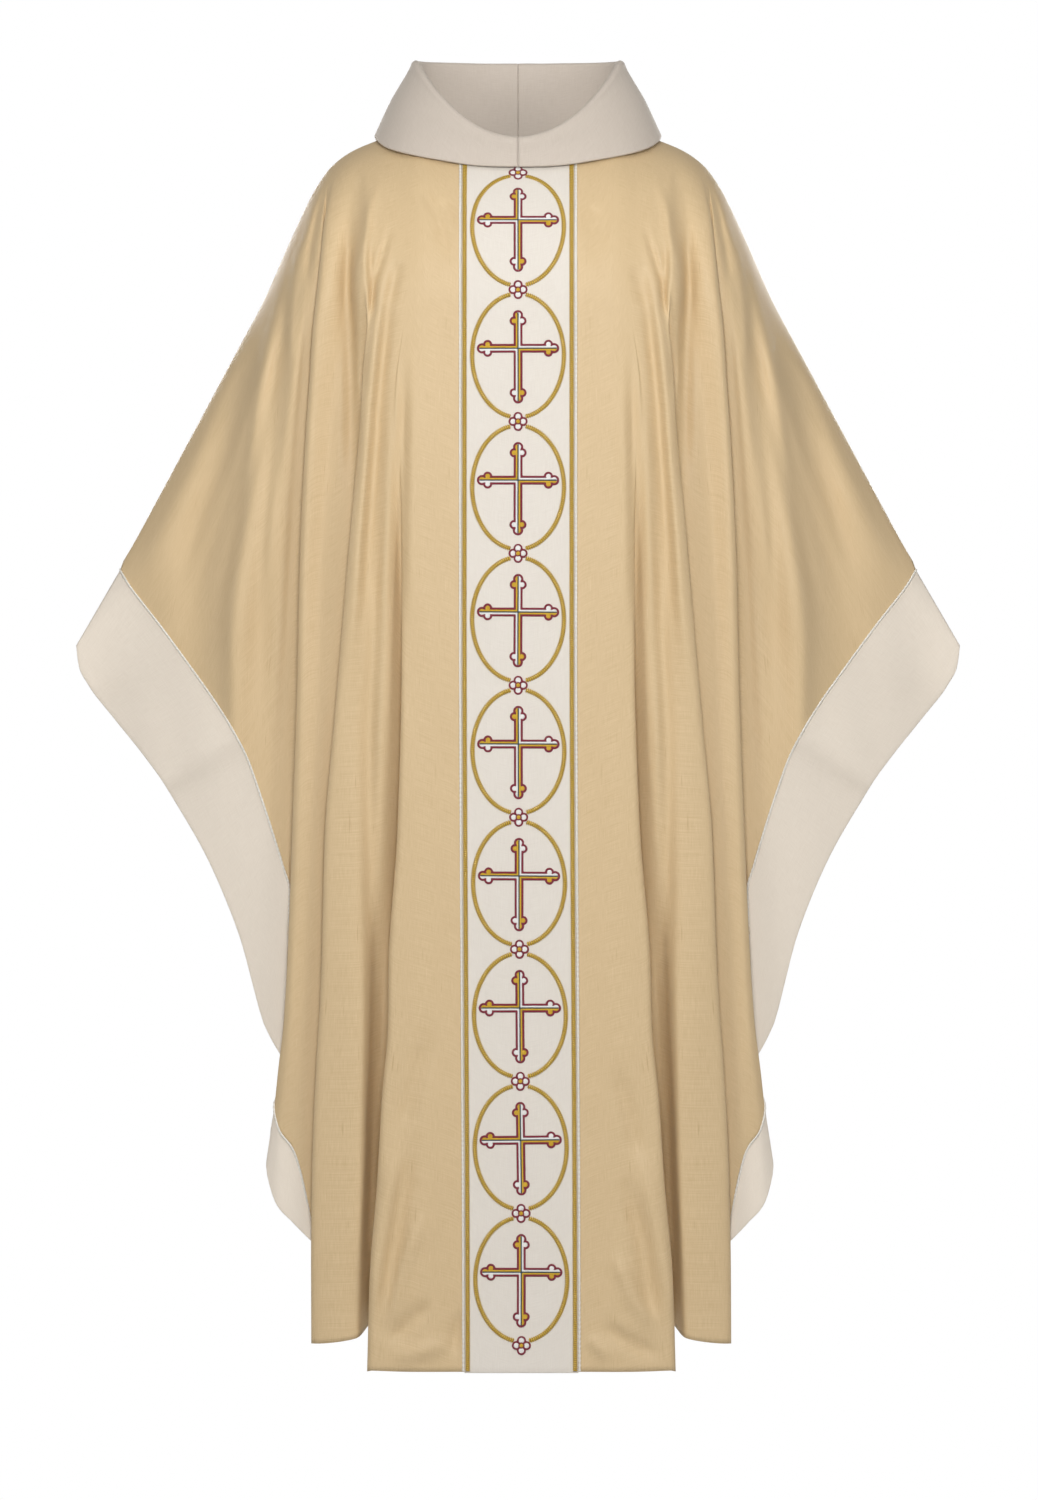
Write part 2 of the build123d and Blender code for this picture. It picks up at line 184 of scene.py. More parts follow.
def sheet_mesh(name, points, thickness, inward):
    """A closed sheet from a grid of outer points; inward is 1 or -1 and picks the inner side."""
    rows, cols = points.shape[:2]
    count = rows * cols
    inner = points + inward * thickness * grid_normals(points)
    index = np.arange(count).reshape(rows, cols)
    a, b, c, d = index[:-1, :-1], index[:-1, 1:], index[1:, 1:], index[1:, :-1]
    outer_faces = np.stack([a, b, c, d], -1).reshape(-1, 4)
    inner_faces = outer_faces[:, ::-1] + count
    rim = np.concatenate([index[0, :], index[1:, -1], index[-1, -2::-1], index[-2:0:-1, 0]])
    after = np.roll(rim, -1)
    rim_faces = np.stack([after, rim, rim + count, after + count], -1)
    faces = np.concatenate([outer_faces, inner_faces, rim_faces])
    if inward < 0:
        faces = faces[:, ::-1]
    verts = np.concatenate([points.reshape(-1, 3), inner.reshape(-1, 3)])
    flat = np.concatenate([flat_places(points).reshape(-1, 2)] * 2)
    return make_mesh(name, verts, faces, np.column_stack([flat, np.repeat([0.0, 1.0], count)]))


# ---- rails of the front ----
# A rail runs down the cloth from the neckline or shoulder line to the hem or to the seam of the
# sleeve band. Points are (x, z) in millimetres, for the wearer's left; the other side mirrors it.
def rail(points, relief, band=None):
    return {"points": points, "relief": relief, "band": band}


def pleat(points, relief, start, full, overlap, depth, ends, bands=None, spread=1.0):
    """Rails of a pleat whose fold follows points; it opens from soft at start to lapped at full."""
    return {"points": points, "relief": relief, "start": start, "full": full, "spread": spread,
            "overlap": overlap, "depth": depth, "ends": ends, "bands": bands or [None] * 5}


FRONT_RAILS = [
    rail([(59, "neck"), (59, -400), (59, -800), (59, -1300)], 0),
    rail([(66, "neck"), (67, -200), (68, -400), (68, -800), (70, -1300)], 0),
    rail([(74, "neck"), (78, -100), (86, -200), (92, -300), (94, -700), (98, -1000), (112, -1300)],
         [(-200, 0), (-400, -1), (-1300, -3)]),
    pleat([(84, "neck"), (92, -100), (104, -200), (116, -292), (120, -448), (121, -583), (126, -740),
           (136, -880), (137, -940), (144, -1020), (149, -1103), (157, -1200), (160, -1300)],
          [(-200, 0), (-500, -1), (-1300, -3)], -290, -850, 26, 38,
          [-1299, -1300, -1286, -1240, -1236], spread=0.35),
    rail([(97, "ridge"), (106, -100), (117, -200), (131, -300), (136, -450), (137, -620), (138, -780),
          (141, -900), (145, -1050), (151, -1246)],
         [(-220, 0), (-300, 2), (-450, 5), (-620, 11), (-760, 20), (-900, 34), (-1050, 46), (-1250, 48)]),
    rail([(106, "ridge"), (111, -100), (126, -200), (139, -300), (145, -450), (146, -620), (146, -780),
          (149, -900), (153, -1050), (158, -1253)],
         [(-250, 0), (-350, 3), (-450, 4), (-620, 6), (-760, 14), (-900, 28), (-1050, 38), (-1250, 40)]),
    rail([(118, "ridge"), (116, -60), (117, -110), (127, -150), (137, -200), (147, -300), (156, -450),
          (161, -620), (163, -780), (164, -900), (166, -1050), (171, -1266)],
         [(-150, 0), (-300, 1), (-450, 3), (-620, 5), (-900, 4), (-1250, 5)]),
    pleat([(140, "ridge"), (133, -60), (132, -110), (139, -133), (146, -165), (153, -199), (160, -251),
           (164, -313), (175, -438), (182, -521), (191, -625), (201, -740), (206, -896), (212, -991),
           (216, -1080), (218, -1200), (218, -1272)],
          [(-60, 0), (-300, 0)], -150, -320, 26, 22, [-1272, -1272, -1245, -1192, -1184],
          [None, None, None, (186, -1196), (192, -1190)], spread=0.8),
    rail([(165, "ridge"), (173, -78), (177, -140), (184, -222), (191, -313), (203, -458), (207, -594),
          (213, -740), (224, -900), (236, -1071)],
         [(-40, 0), (-78, 7), (-140, 15), (-222, 21), (-313, 22), (-458, 19), (-650, 15), (-900, 12),
          (-1071, 10)], (238, -1145)),
    pleat([(189, "ridge"), (189, -52), (194, -66), (198, -85), (202, -106), (205, -135), (209, -174),
           (214, -222), (217, -271), (220, -313), (227, -458), (230, -594), (234, -709), (238, -813),
           (245, -940), (251, -990), (255, -1028)],
          [(-60, 1), (-140, 3), (-300, 6)], -36, -190, 26, 24, [-1050, -1028, -1000, -945, -905],
          [(255, -1125), (264, -1089), (256, -1062), (226, -1037), (232, -1004)], spread=0.25),
    rail([(198, "ridge"), (207, -120), (221, -300), (233, -500), (238, -700), (238, -802)],
         [(-60, 1), (-120, 8), (-300, 22), (-500, 28)], (266, -940)),
    rail([(204, "ridge"), (213, -120), (227, -300), (241, -560), (245, -776)],
         [(-80, 1), (-140, 6), (-300, 18), (-500, 25)], (289, -854)),
    rail([(212, "ridge"), (233, -300), (248, -560), (255, -743)],
         [(-80, 0), (-300, 13), (-500, 20)], (304, -813)),
    rail([(220, "ridge"), (240, -280), (253, -450), (264, -600), (266, -709)],
         [(-120, 0), (-300, 9), (-500, 14)], (326, -764)),
    rail([(229, "ridge"), (246, -220), (258, -400), (276, -560), (282, -664)],
         [(-120, 0), (-300, 3), (-500, 6)], (358, -709)),
    rail([(238, "ridge"), (259, -230), (268, -290), (285, -440), (297, -560), (297, -635)],
         [(-120, 0), (-300, -3)], (373, -685)),
    rail([(258, "ridge"), (276, -260), (290, -360), (308, -480), (316, -605)],
         [(-200, 0), (-400, 7)], (396, -655)),
    rail([(278, "ridge"), (300, -350), (325, -480), (336, -577)],
         [(-250, 0), (-420, 11)], (420, -626)),
    rail([(325, "ridge"), (349, -420), (366, -490), (373, -527)],
         [(-320, 0), (-450, 2)], (448, -590)),
    rail([(375, "ridge"), (393, -440), (408, -482)], 0, (460, -567)),
    rail([(414, "ridge"), (416, -464), (417, -467)], 0, (463, -546)),
]
ROWS, BAND_ROWS = 250, 26
# The five rails round a pleat: before its edge, the edge, behind it, its tuck and the layer below.
# Where the pleat is still open they lie side by side, these far across and this share of its depth in.
OPEN_ACROSS = np.array([-10, 0, 9, 18, 26]) * MM
OPEN_IN = np.array([0, 0.05, 0.2, 0.35, 0.45])
# Where it is lapped the first lies this far before the edge, and the others pass under it: these
# shares of its overlap and of its depth.
LAPPED_BEFORE = -4.5 * MM
LAPPED_UNDER = np.array([0, 0, -0.4, -1, -0.5])
LAPPED_IN = np.array([-0.04, 0.12, 0.42, 0.74, 1.0])


def top_point(x, kind, side):
    """The (x, z) at which a rail starts, on the neckline or on the shoulder line, in metres."""
    x = x * MM
    return x, float(neck_z(x, side)) if kind == "neck" or x < NECK_SIDE else float(form(x)[0])


def rail_path(points, side, share):
    """A rail's (x, z) at each row."""
    x0, z0 = top_point(*points[0], side)
    path = np.array([(x0, z0)] + [(x * MM, z * MM) for x, z in points[1:]])
    lengths = path_length(path)
    return smooth_through(lengths / lengths[-1], path, share)


def relief_down(relief, z):
    """How far a rail lies behind the form at each height, from a number or (height, relief) pairs."""
    if isinstance(relief, list):
        heights, values = np.array(relief[::-1], float).T * MM
        return smooth_through(heights, values[:, None], np.clip(z, heights[0], heights[-1]))[:, 0]
    return np.full(len(z), relief * MM)


def pleat_rails(spec, side, share):
    """The five rails round one pleat."""
    edge = rail_path(spec["points"], side, share)
    open_z, lapped_z = spec["start"] * MM, spec["full"] * MM
    lap = smoothstep(-open_z, -lapped_z, -edge[:, 1])
    over, depth = spec["overlap"] * MM, spec["depth"] * MM
    soft_x = OPEN_ACROSS * spec["spread"]
    tight_x = LAPPED_UNDER * over + [LAPPED_BEFORE, 0, 0, 0, 0]
    soft_y = OPEN_IN * depth * spec["spread"]
    tight_y = LAPPED_IN * depth
    opening = np.minimum(1, 3 * lap)
    rails = []
    for i, end in enumerate(spec["ends"]):
        x = edge[:, 0] + soft_x[i] * (1 - lap) + tight_x[i] * lap
        start_x = edge[0, 0] + soft_x[i]
        top = neck_z(start_x, side) if start_x < NECK_SIDE else form(start_x)[0]
        squeeze = (float(top) - end * MM) / (edge[0, 1] - edge[-1, 1])
        z = float(top) + (edge[:, 1] - edge[0, 1]) * squeeze
        relief = relief_down(spec["relief"], z) + soft_y[i] * (1 - lap) * opening + tight_y[i] * lap
        rails.append((np.column_stack([x, z]), relief, spec["bands"][i]))
    return rails


def all_rails(specs, side, share):
    """Paths, reliefs and band ends of every rail in order from the orphrey to the sleeve tip."""
    rails = []
    for spec in specs:
        if "start" in spec:
            rails += pleat_rails(spec, side, share)
        else:
            path = rail_path(spec["points"], side, share)
            rails.append((path, relief_down(spec["relief"], path[:, 1]), spec["band"]))
    return rails


FOLD_FADE = 0.04                         # folds grow over this much below the shoulder line
NECK_START = 0.02                        # and are already part grown at the neckline
SWAY = 3.5 * MM                          # the front's hem hangs this far to one side, the back's to the other
SEAM_OVERLAP = 0.2 * MM                  # the front and back sheets pass each other at the shoulder


def place(x, z, relief, side, hand):
    """Points of the cloth from the front view's x and z and how far its folds lie behind the form."""
    x, z, relief = np.broadcast_arrays(x, z, relief)
    top = form(x)[0]
    below = np.maximum(top - z, 0)
    fade = smoothstep(0, FOLD_FADE, below + np.where(np.abs(x) < NECK_SIDE, NECK_START, 0))
    y = form_y(x, z, side) - side * (relief - creases(hand * x, z, side)) * fade
    y = side * (np.maximum(side * y, 0) - SEAM_OVERLAP * (1 - smoothstep(0, 2 * MM, below)))
    sway = SWAY * smoothstep(0.5, 1.3, below) * -side
    return np.stack([hand * x + sway, y, z], -1)


# Soft folds and small creases: how far they stand out, half their width, and their (x, z) points,
# all in millimetres. The first table's lie on both halves of the front, and at half strength on
# the back. The second table's lie on the front only.
PAIRED_CREASES = [
    (-9, 9, [(174, -70), (176, -110), (177, -160), (175, -220), (173, -280), (173, -350), (172, -420)]),
    (5, 5.5, [(138, -46), (149, -76), (157, -105), (159, -150), (159, -210), (158, -280)]),
    (-4.5, 3.6, [(130, -100), (135, -124), (142, -146), (149, -170), (154, -208), (157, -248), (159, -290)]),
    (-4, 4, [(155, -120), (153, -165), (149, -215)]),
    (-3, 3.5, [(158, -160), (161, -205), (161, -250), (160, -300)]),
    (3, 4.5, [(166, -130), (166, -200), (166, -260), (165, -330)]),
    (5, 7, [(133, -120), (141, -180), (149, -255), (155, -330), (161, -400), (169, -500), (180, -620)]),
    (-6.5, 7, [(127, -125), (135, -200), (141, -255), (146, -300), (151, -372), (156, -450), (160, -560)]),
    (3, 6, [(126, -250), (132, -320), (136, -400), (140, -480), (143, -560)]),
    (-3.5, 5, [(117, -225), (118, -290), (119, -370), (120, -460), (121, -560)]),
    (2.5, 7, [(108, -240), (109, -330), (110, -430), (111, -560)]),
    (-7, 8, [(136, -330), (141, -380), (147, -488), (150, -560), (154, -632), (155, -704), (155, -776),
             (156, -860), (157, -960)]),
    (-4, 4.5, [(189, -34), (195, -48), (202, -66), (206, -88)]),
    (4, 5, [(197, -40), (206, -62), (214, -92), (222, -140)]),
    (-6.5, 4.6, [(200, -52), (205, -76), (210, -96), (216, -130), (222, -180)]),
    (-3.5, 4, [(214, -72), (224, -100), (232, -140)]),
    (4.5, 5.5, [(222, -95), (230, -140), (236, -200), (240, -270)]),
    (-6.5, 12, [(226, -92), (245, -180), (252, -290), (262, -420), (270, -560), (272, -680)]),
    (5.5, 16, [(240, -140), (258, -210), (270, -290), (288, -420), (300, -540), (306, -640)]),
    (-8, 19, [(264, -180), (300, -300), (330, -420), (352, -530)]),
    (6, 17, [(300, -260), (340, -360), (376, -450), (404, -520)]),
    (-3, 9, [(230, -330), (240, -480), (246, -620), (250, -760)]),
    (5, 8, [(232, -130), (262, -240), (300, -360), (340, -470), (360, -530)]),
    (-5, 8, [(226, -140), (252, -260), (284, -390), (318, -520), (330, -570)]),
    (4.5, 8, [(222, -170), (236, -280), (252, -400), (268, -540)]),
]
CREASES = [
    (-3, 6, [(-123, -146), (-132, -194)]),
    (-3, 6, [(-81, -80), (-64, -115)]),
    (-3, 7, [(-110, -60), (-86, -95), (-70, -150)]),
    (8, 10, [(-126, -1050), (-138, -1120), (-150, -1190), (-156, -1265)]),
    (-6.4, 7, [(-108, -1050), (-124, -1120), (-136, -1200), (-148, -1275)]),
    (6.4, 7, [(-100, -1130), (-122, -1190), (-140, -1262)]),
    (-6.4, 6, [(-92, -1225), (-116, -1250), (-140, -1272)]),
    (5.6, 6, [(-72, -1270), (-100, -1278), (-135, -1288)]),
    (-4.8, 5, [(-64, -1235), (-72, -1285)]),
    (-4.8, 8, [(-92, -940), (-112, -1010), (-126, -1060)]),
    (7.2, 10, [(124, -1060), (140, -1140), (153, -1220), (156, -1275)]),
    (-6.4, 7, [(106, -1090), (124, -1160), (140, -1265)]),
    (5.6, 7, [(95, -1170), (116, -1225), (142, -1262)]),
    (-6.4, 6, [(80, -1250), (110, -1268), (146, -1286)]),
    (4.8, 5, [(68, -1262), (92, -1288)]),
    (-4.8, 8, [(98, -980), (114, -1040), (124, -1090)]),
    (-3, 7, [(120, -150), (131, -200)]),
    (-3, 7, [(84, -90), (70, -122)]),
    (-2.5, 8, [(112, -64), (92, -100), (76, -150)]),
]
BACK_CREASES = 0.5
RIPPLE_SEEDS = {FRONT: 11, BACK: 12}     # for the broad, shallow unevenness of each face
RIPPLE_COUNT, RIPPLE_HEIGHT = 14, 0.28 * MM


def creases(x, z, side):
    """How far small folds lift the cloth at (x, z), signed x, in metres."""
    rng = np.random.default_rng(RIPPLE_SEEDS[side])
    lift = np.zeros(x.shape)
    for _ in range(RIPPLE_COUNT):
        angle, phase = rng.uniform(-0.35, 0.35), rng.uniform(0, 2 * math.pi)
        length = rng.uniform(0.05, 0.16)
        along = x * math.cos(angle) + z * math.sin(angle)
        fade = 0.5 + 0.5 * np.sin(z / rng.uniform(0.10, 0.22) + rng.uniform(0, 6))
        lift += RIPPLE_HEIGHT * np.sin(2 * math.pi * along / length + phase) * fade
    lift *= (smoothstep(0.05, 0.10, np.abs(x)) * 0.8 + 0.3) * smoothstep(0.1, 0.4, -z)
    share = 1 if side == FRONT else BACK_CREASES
    for height, width, points in PAIRED_CREASES:
        lift += crease(np.abs(x), z, share * height * MM, width * MM, np.array(points) * MM)
    if side == FRONT:
        for height, width, points in CREASES:
            lift += crease(x, z, height * MM, width * MM, np.array(points) * MM)
    return lift


def crease(x, z, height, width, points):
    """A rounded ridge or groove along a line of points, fading out at its ends."""
    nearest = np.full(x.shape, np.inf)
    ends = np.zeros(x.shape)
    lengths = path_length(points)
    for i in range(len(points) - 1):
        step = points[i + 1] - points[i]
        size = step @ step
        t = np.clip(((x - points[i, 0]) * step[0] + (z - points[i, 1]) * step[1]) / size, 0, 1)
        away = np.hypot(x - points[i, 0] - t * step[0], z - points[i, 1] - t * step[1])
        ends = np.where(away < nearest, (lengths[i] + t * math.sqrt(size)) / lengths[-1], ends)
        nearest = np.minimum(nearest, away)
    taper = smoothstep(0, 0.3, ends) * smoothstep(0, 0.3, 1 - ends)
    return height * np.exp(-(nearest / width) ** 2) * taper


COLUMN_SPACING = 3.6 * MM


def column_places(distances):
    """Sample positions across the rails: a few per gap, more where the gap is wide."""
    at = [0.0]
    total = 0.0
    for gap in distances:
        count = max(3, math.ceil(gap / COLUMN_SPACING))
        at += list(total + gap * np.arange(1, count + 1) / count)
        total += gap
    return np.array(at)


def body_sheets(specs, side, hand):
    """Grids of the gold cloth and of its sleeve band on one quarter of the garment."""
    share = row_shares(ROWS)
    rails = all_rails(specs, side, share)
    grid = np.stack([np.column_stack([path, relief]) for path, relief, _ in rails])
    probe = grid[:, ROWS * 2 // 3, :]
    distances = np.maximum(np.linalg.norm(np.diff(probe, axis=0), axis=1), 5 * MM)
    known = running(distances)
    at = column_places(distances)
    sheet = smooth_through(known, grid, at)
    x, z, relief = sheet[:, :, 0].T, sheet[:, :, 1].T, sheet[:, :, 2].T
    start = np.where(x[0] < NECK_SIDE, neck_z(x[0], side), form(x[0])[0])
    z = z + (start - z[0]) * (1 - share[:, None])
    gold = place(x, z, relief, side, hand)

    first = next(i for i, item in enumerate(rails) if item[2])
    ends = np.array([item[2] for item in rails[first:]]) * MM
    inside = at >= known[first] - 1e-9
    edge = smooth_through(known[first:], ends, at[inside])
    seam = np.stack([x[-1, inside], z[-1, inside]], -1)
    across = seam + (edge - seam) * np.linspace(0, 1, BAND_ROWS)[:, None, None]
    band_relief = np.repeat(relief[-1:, inside], BAND_ROWS, axis=0)
    return gold, place(across[:, :, 0], across[:, :, 1], band_relief, side, hand)


HEM_TURN = 14 * MM
TURN_RADIUS = 1.3 * MM


def turn_under(points, normal, radius, steps, rows_back):
    """The grid with its last row turned round a fold, then rows_back rows back up inside."""
    down = unit(points[-1] - points[-2])
    rows = [points]
    for bend in np.linspace(0, math.pi, steps)[1:]:
        rows.append((points[-1] + radius * (math.sin(bend) * down + (1 - math.cos(bend)) * normal[-1]))[None])
    for i in range(1, rows_back + 1):
        rows.append((points[-1 - i] + 2 * radius * normal[-1 - i])[None])
    return np.concatenate(rows)


def hemmed(points, inward):
    """The grid with its last row turned under by the width of a hem."""
    steps = np.linalg.norm(np.diff(points[::-1], axis=0), axis=2).mean(1)
    rows_back = int(np.searchsorted(running(steps), HEM_TURN))
    return turn_under(points, inward * grid_normals(points), TURN_RADIUS, 6, rows_back)


def flat_places(points):
    """Where each grid point lies on the flat cloth: distance across from the first column and down."""
    across = np.median([path_length(row) for row in points], axis=0)
    down = np.stack([path_length(column) for column in np.swapaxes(points, 0, 1)], -1)
    return np.stack([np.broadcast_to(across, down.shape), down], -1)


BACK_NARROWING = 0.985                   # the back lies just inside the front's outline
NARROW_FROM = 75                         # from this far out, in millimetres, as below
RISE_FROM, FRONT_HEM, BACK_RISE = -700, -1300, 35
BACK_BAND_RISE = 4
BACK_RELIEF, BACK_OVERLAP, BACK_PLEAT_DEPTH = 0.7, 0.7, 0.8
LATER_START = 1.3                        # the back's pleats start lower


def raised(z):
    """A low point of the front's outline, in millimetres, raised as the shorter back's is."""
    if z > RISE_FROM:
        return z
    return z + BACK_RISE * (RISE_FROM - z) / (RISE_FROM - FRONT_HEM)


def back_end(end):
    """Where the back's sleeve band ends, just inside the front's, or None where there is no band."""
    return end and (end[0] * BACK_NARROWING, raised(end[1]) + BACK_BAND_RISE)


def back_rails():
    """The rails of the back: the front's, with shallower pleats and the back's shorter outline."""
    rails = []
    for spec in FRONT_RAILS:
        new = dict(spec)
        new["points"] = [spec["points"][0]] + [(x * BACK_NARROWING if x > NARROW_FROM else x, raised(z))
                                               for x, z in spec["points"][1:]]
        relief = spec["relief"]
        new["relief"] = ([(z, BACK_RELIEF * r) for z, r in relief] if isinstance(relief, list)
                         else BACK_RELIEF * relief)
        if "start" in spec:
            new["ends"] = [raised(z) for z in spec["ends"]]
            new["overlap"] = BACK_OVERLAP * spec["overlap"]
            new["depth"] = BACK_PLEAT_DEPTH * spec["depth"]
            new["start"], new["full"] = LATER_START * spec["start"], LATER_START * spec["full"]
            new["bands"] = [back_end(end) for end in spec["bands"]]
        else:
            new["band"] = back_end(spec["band"])
        rails.append(new)
    return rails


# ---- materials ----
def srgb(r, g, b):
    """A colour given in display values from 11 to 255, as linear light."""
    return tuple(((c / 255 + 0.055) / 1.055) ** 2.4 for c in (r, g, b)) + (1,)


class Nodes:
    """A material's node tree with short ways to add what these materials use."""

    def __init__(self, name, **settings):
        self.material = bpy.data.materials.new(name)
        self.material.use_nodes = True
        self.tree = self.material.node_tree
        self.shader = self.tree.nodes["Principled BSDF"]
        for socket, value in settings.items():
            self.shader.inputs[socket.replace("_", " ")].default_value = value

    def link(self, out, to, socket):
        self.tree.links.new(out, to.inputs[socket])

    def cloth(self):
        """Places on the flat cloth, in metres."""
        node = self.tree.nodes.new("ShaderNodeAttribute")
        node.attribute_name = "cloth"
        return node.outputs["Vector"]

    def pattern(self, kind, scale, **settings):
        """A noise or wave pattern on the flat cloth, with its own scale each way."""
        mapping = self.tree.nodes.new("ShaderNodeMapping")
        mapping.inputs["Scale"].default_value = scale
        self.link(self.cloth(), mapping, "Vector")
        node = self.tree.nodes.new(kind)
        node.inputs["Scale"].default_value = 1
        for socket, value in settings.items():
            node.inputs[socket].default_value = value
        self.link(mapping.outputs["Vector"], node, "Vector")
        return node

    def noise(self, scale, detail=3, rough=0.55):
        return self.pattern("ShaderNodeTexNoise", scale, Detail=detail, Roughness=rough).outputs["Fac"]

    def wave(self, scale, direction, distortion=0.0):
        node = self.pattern("ShaderNodeTexWave", scale, Detail=2, Distortion=distortion)
        node.bands_direction = direction
        return node.outputs["Fac"]

    def ramp(self, value, stops):
        node = self.tree.nodes.new("ShaderNodeValToRGB")
        while len(node.color_ramp.elements) < len(stops):
            node.color_ramp.elements.new(0.5)
        for element, (position, color) in zip(node.color_ramp.elements, stops):
            element.position = position
            element.color = color
        self.link(value, node, "Fac")
        return node.outputs["Color"]

    def spots(self, scale, edge):
        """A mask of scattered marks: black below the edge, white just above it."""
        return self.ramp(self.noise(scale, detail=1), [(edge, (0, 0, 0, 1)), (edge + 0.1, (1, 1, 1, 1))])

    def math(self, operation, a, b):
        node = self.tree.nodes.new("ShaderNodeMath")
        node.operation = operation
        for socket, value in enumerate((a, b)):
            if isinstance(value, (int, float)):
                node.inputs[socket].default_value = value
            else:
                self.tree.links.new(value, node.inputs[socket])
        return node.outputs["Value"]

    def times(self, value, factor):
        return self.math("MULTIPLY", value, factor)

    def mix(self, factor, a, b):
        node = self.tree.nodes.new("ShaderNodeMix")
        node.data_type = "RGBA"
        for socket, value in ((0, factor), (6, a), (7, b)):
            if isinstance(value, tuple):
                node.inputs[socket].default_value = value
            else:
                self.tree.links.new(value, node.inputs[socket])
        return node.outputs[2]

    def bump(self, height, distance, strength):
        node = self.tree.nodes.new("ShaderNodeBump")
        node.inputs["Distance"].default_value = distance
        node.inputs["Strength"].default_value = strength
        self.link(height, node, "Height")
        self.link(node.outputs["Normal"], self.shader, "Normal")


def gold_silk():
    """Slubbed silk: fine threads both ways, scattered slubs and a soft, slightly golden sheen."""
    n = Nodes("gold_silk", Sheen_Weight=0.07, Sheen_Roughness=0.4, Sheen_Tint=srgb(255, 238, 212),
              Specular_IOR_Level=0.28)
    weft, warp = n.noise((40, 2200, 1), rough=0.6), n.noise((2200, 60, 1), rough=0.6)
    threads = n.math("ADD", n.times(weft, 0.6), n.times(warp, 0.4))
    dashes = n.spots((900, 26, 1), 0.70)
    glints = n.spots((700, 20, 3), 0.72)
    cross_slubs = n.spots((24, 800, 1), 0.70)
    color = n.ramp(threads, [(0.36, srgb(200, 173, 131)), (0.5, srgb(209, 183, 142)),
                             (0.64, srgb(218, 193, 153))])
    for mask, share, mark in ((dashes, 0.5, (168, 134, 90)), (cross_slubs, 0.25, (176, 142, 98)),
                              (glints, 0.4, (236, 214, 178)), (n.noise((5, 3, 1)), 0.22, (202, 178, 142))):
        color = n.mix(n.times(mask, share), color, srgb(*mark))
    n.link(color, n.shader, "Base Color")
    n.link(n.math("ADD", n.times(threads, 0.2), 0.4), n.shader, "Roughness")
    slubs = n.math("ADD", n.times(dashes, 0.5), n.times(cross_slubs, 0.5))
    n.bump(n.math("ADD", threads, slubs), 0.25 * MM, 0.5)
    return n.material


def ivory_crepe(name, tone, dark):
    """Smooth ivory cloth with a faint cross rib and a matt bloom."""
    n = Nodes(name, Roughness=0.62, Sheen_Weight=0.2, Sheen_Roughness=0.5,
              Sheen_Tint=srgb(255, 250, 240), Specular_IOR_Level=0.3)
    rib, warp = n.noise((60, 1500, 1), rough=0.6), n.noise((1500, 60, 1), rough=0.6)
    cloud = n.noise((9, 9, 1))
    threads = n.math("ADD", n.times(rib, 0.5), n.times(warp, 0.5))
    color = n.ramp(threads, [(0.36, srgb(*dark)), (0.62, srgb(*tone))])
    color = n.mix(n.times(cloud, 0.25), color, srgb(*[c - 8 for c in dark]))
    n.link(color, n.shader, "Base Color")
    n.bump(n.math("ADD", threads, n.times(cloud, 0.5)), 0.25 * MM, 0.5)
    return n.material


def coarse_cloth(name, light, dark, pitch):
    """Plain woven canvas or tape: threads over and under at a pitch in metres."""
    n = Nodes(name, Roughness=0.85, Specular_IOR_Level=0.2)
    repeats = 1 / pitch / 6.3                # a wave has about 3.2 bands a unit, each for two threads
    weave = n.math("MAXIMUM", n.wave((repeats, 0, 0), "X"), n.wave((0, repeats, 0), "Y"))
    speckle = n.noise((400, 400, 1))
    color = n.ramp(n.math("ADD", n.times(weave, 0.6), n.times(speckle, 0.4)),
                   [(0.25, srgb(*dark)), (0.75, srgb(*light))])
    n.link(color, n.shader, "Base Color")
    n.bump(weave, 0.3 * MM, 0.7)
    return n.material


def thread(name, light, dark, roughness, metallic=0.0):
    """Embroidery or cord thread: fine strands, with a painted highlight on top of each and painted shade
    between them.
    """
    n = Nodes(name, Metallic=metallic, Roughness=roughness, Sheen_Weight=0.2, Specular_IOR_Level=0.5)
    strand = n.wave((380, 380, 1), "DIAGONAL", distortion=0.6)
    speckle = n.noise((900, 900, 1), detail=2)
    # Painted highlight on the strands and painted shade between them; the speckles add random darker specks.
    color = n.ramp(strand, [(0.1, srgb(*dark)), (0.6, srgb(*light))])
    color = n.mix(n.times(speckle, 0.3), color, srgb(*dark))
    n.link(color, n.shader, "Base Color")
    n.bump(strand, 0.25 * MM, 0.7)
    return n.material


def rope(name, light, dark, metallic):
    """Laid metal thread: a painted highlight on the crown of each ply and painted shade in the grooves
    between.
    """
    n = Nodes(name, Metallic=metallic, Roughness=0.34, Specular_IOR_Level=0.6, Sheen_Weight=0.1)
    split = n.tree.nodes.new("ShaderNodeSeparateXYZ")
    n.link(n.cloth(), split, "Vector")
    strand = n.wave((600, 300, 0), "DIAGONAL", distortion=0.5)
    speckle = n.noise((500, 500, 1), detail=2)
    # The colour follows the ply's swell: painted highlight on the crowns, painted shade in the grooves.
    color = n.ramp(split.outputs["Z"], [(0.1, srgb(*dark)), (0.75, srgb(*light))])
    color = n.mix(n.times(speckle, 0.35), color, srgb(*dark))
    n.link(color, n.shader, "Base Color")
    n.bump(strand, 0.15 * MM, 0.6)
    return n.material


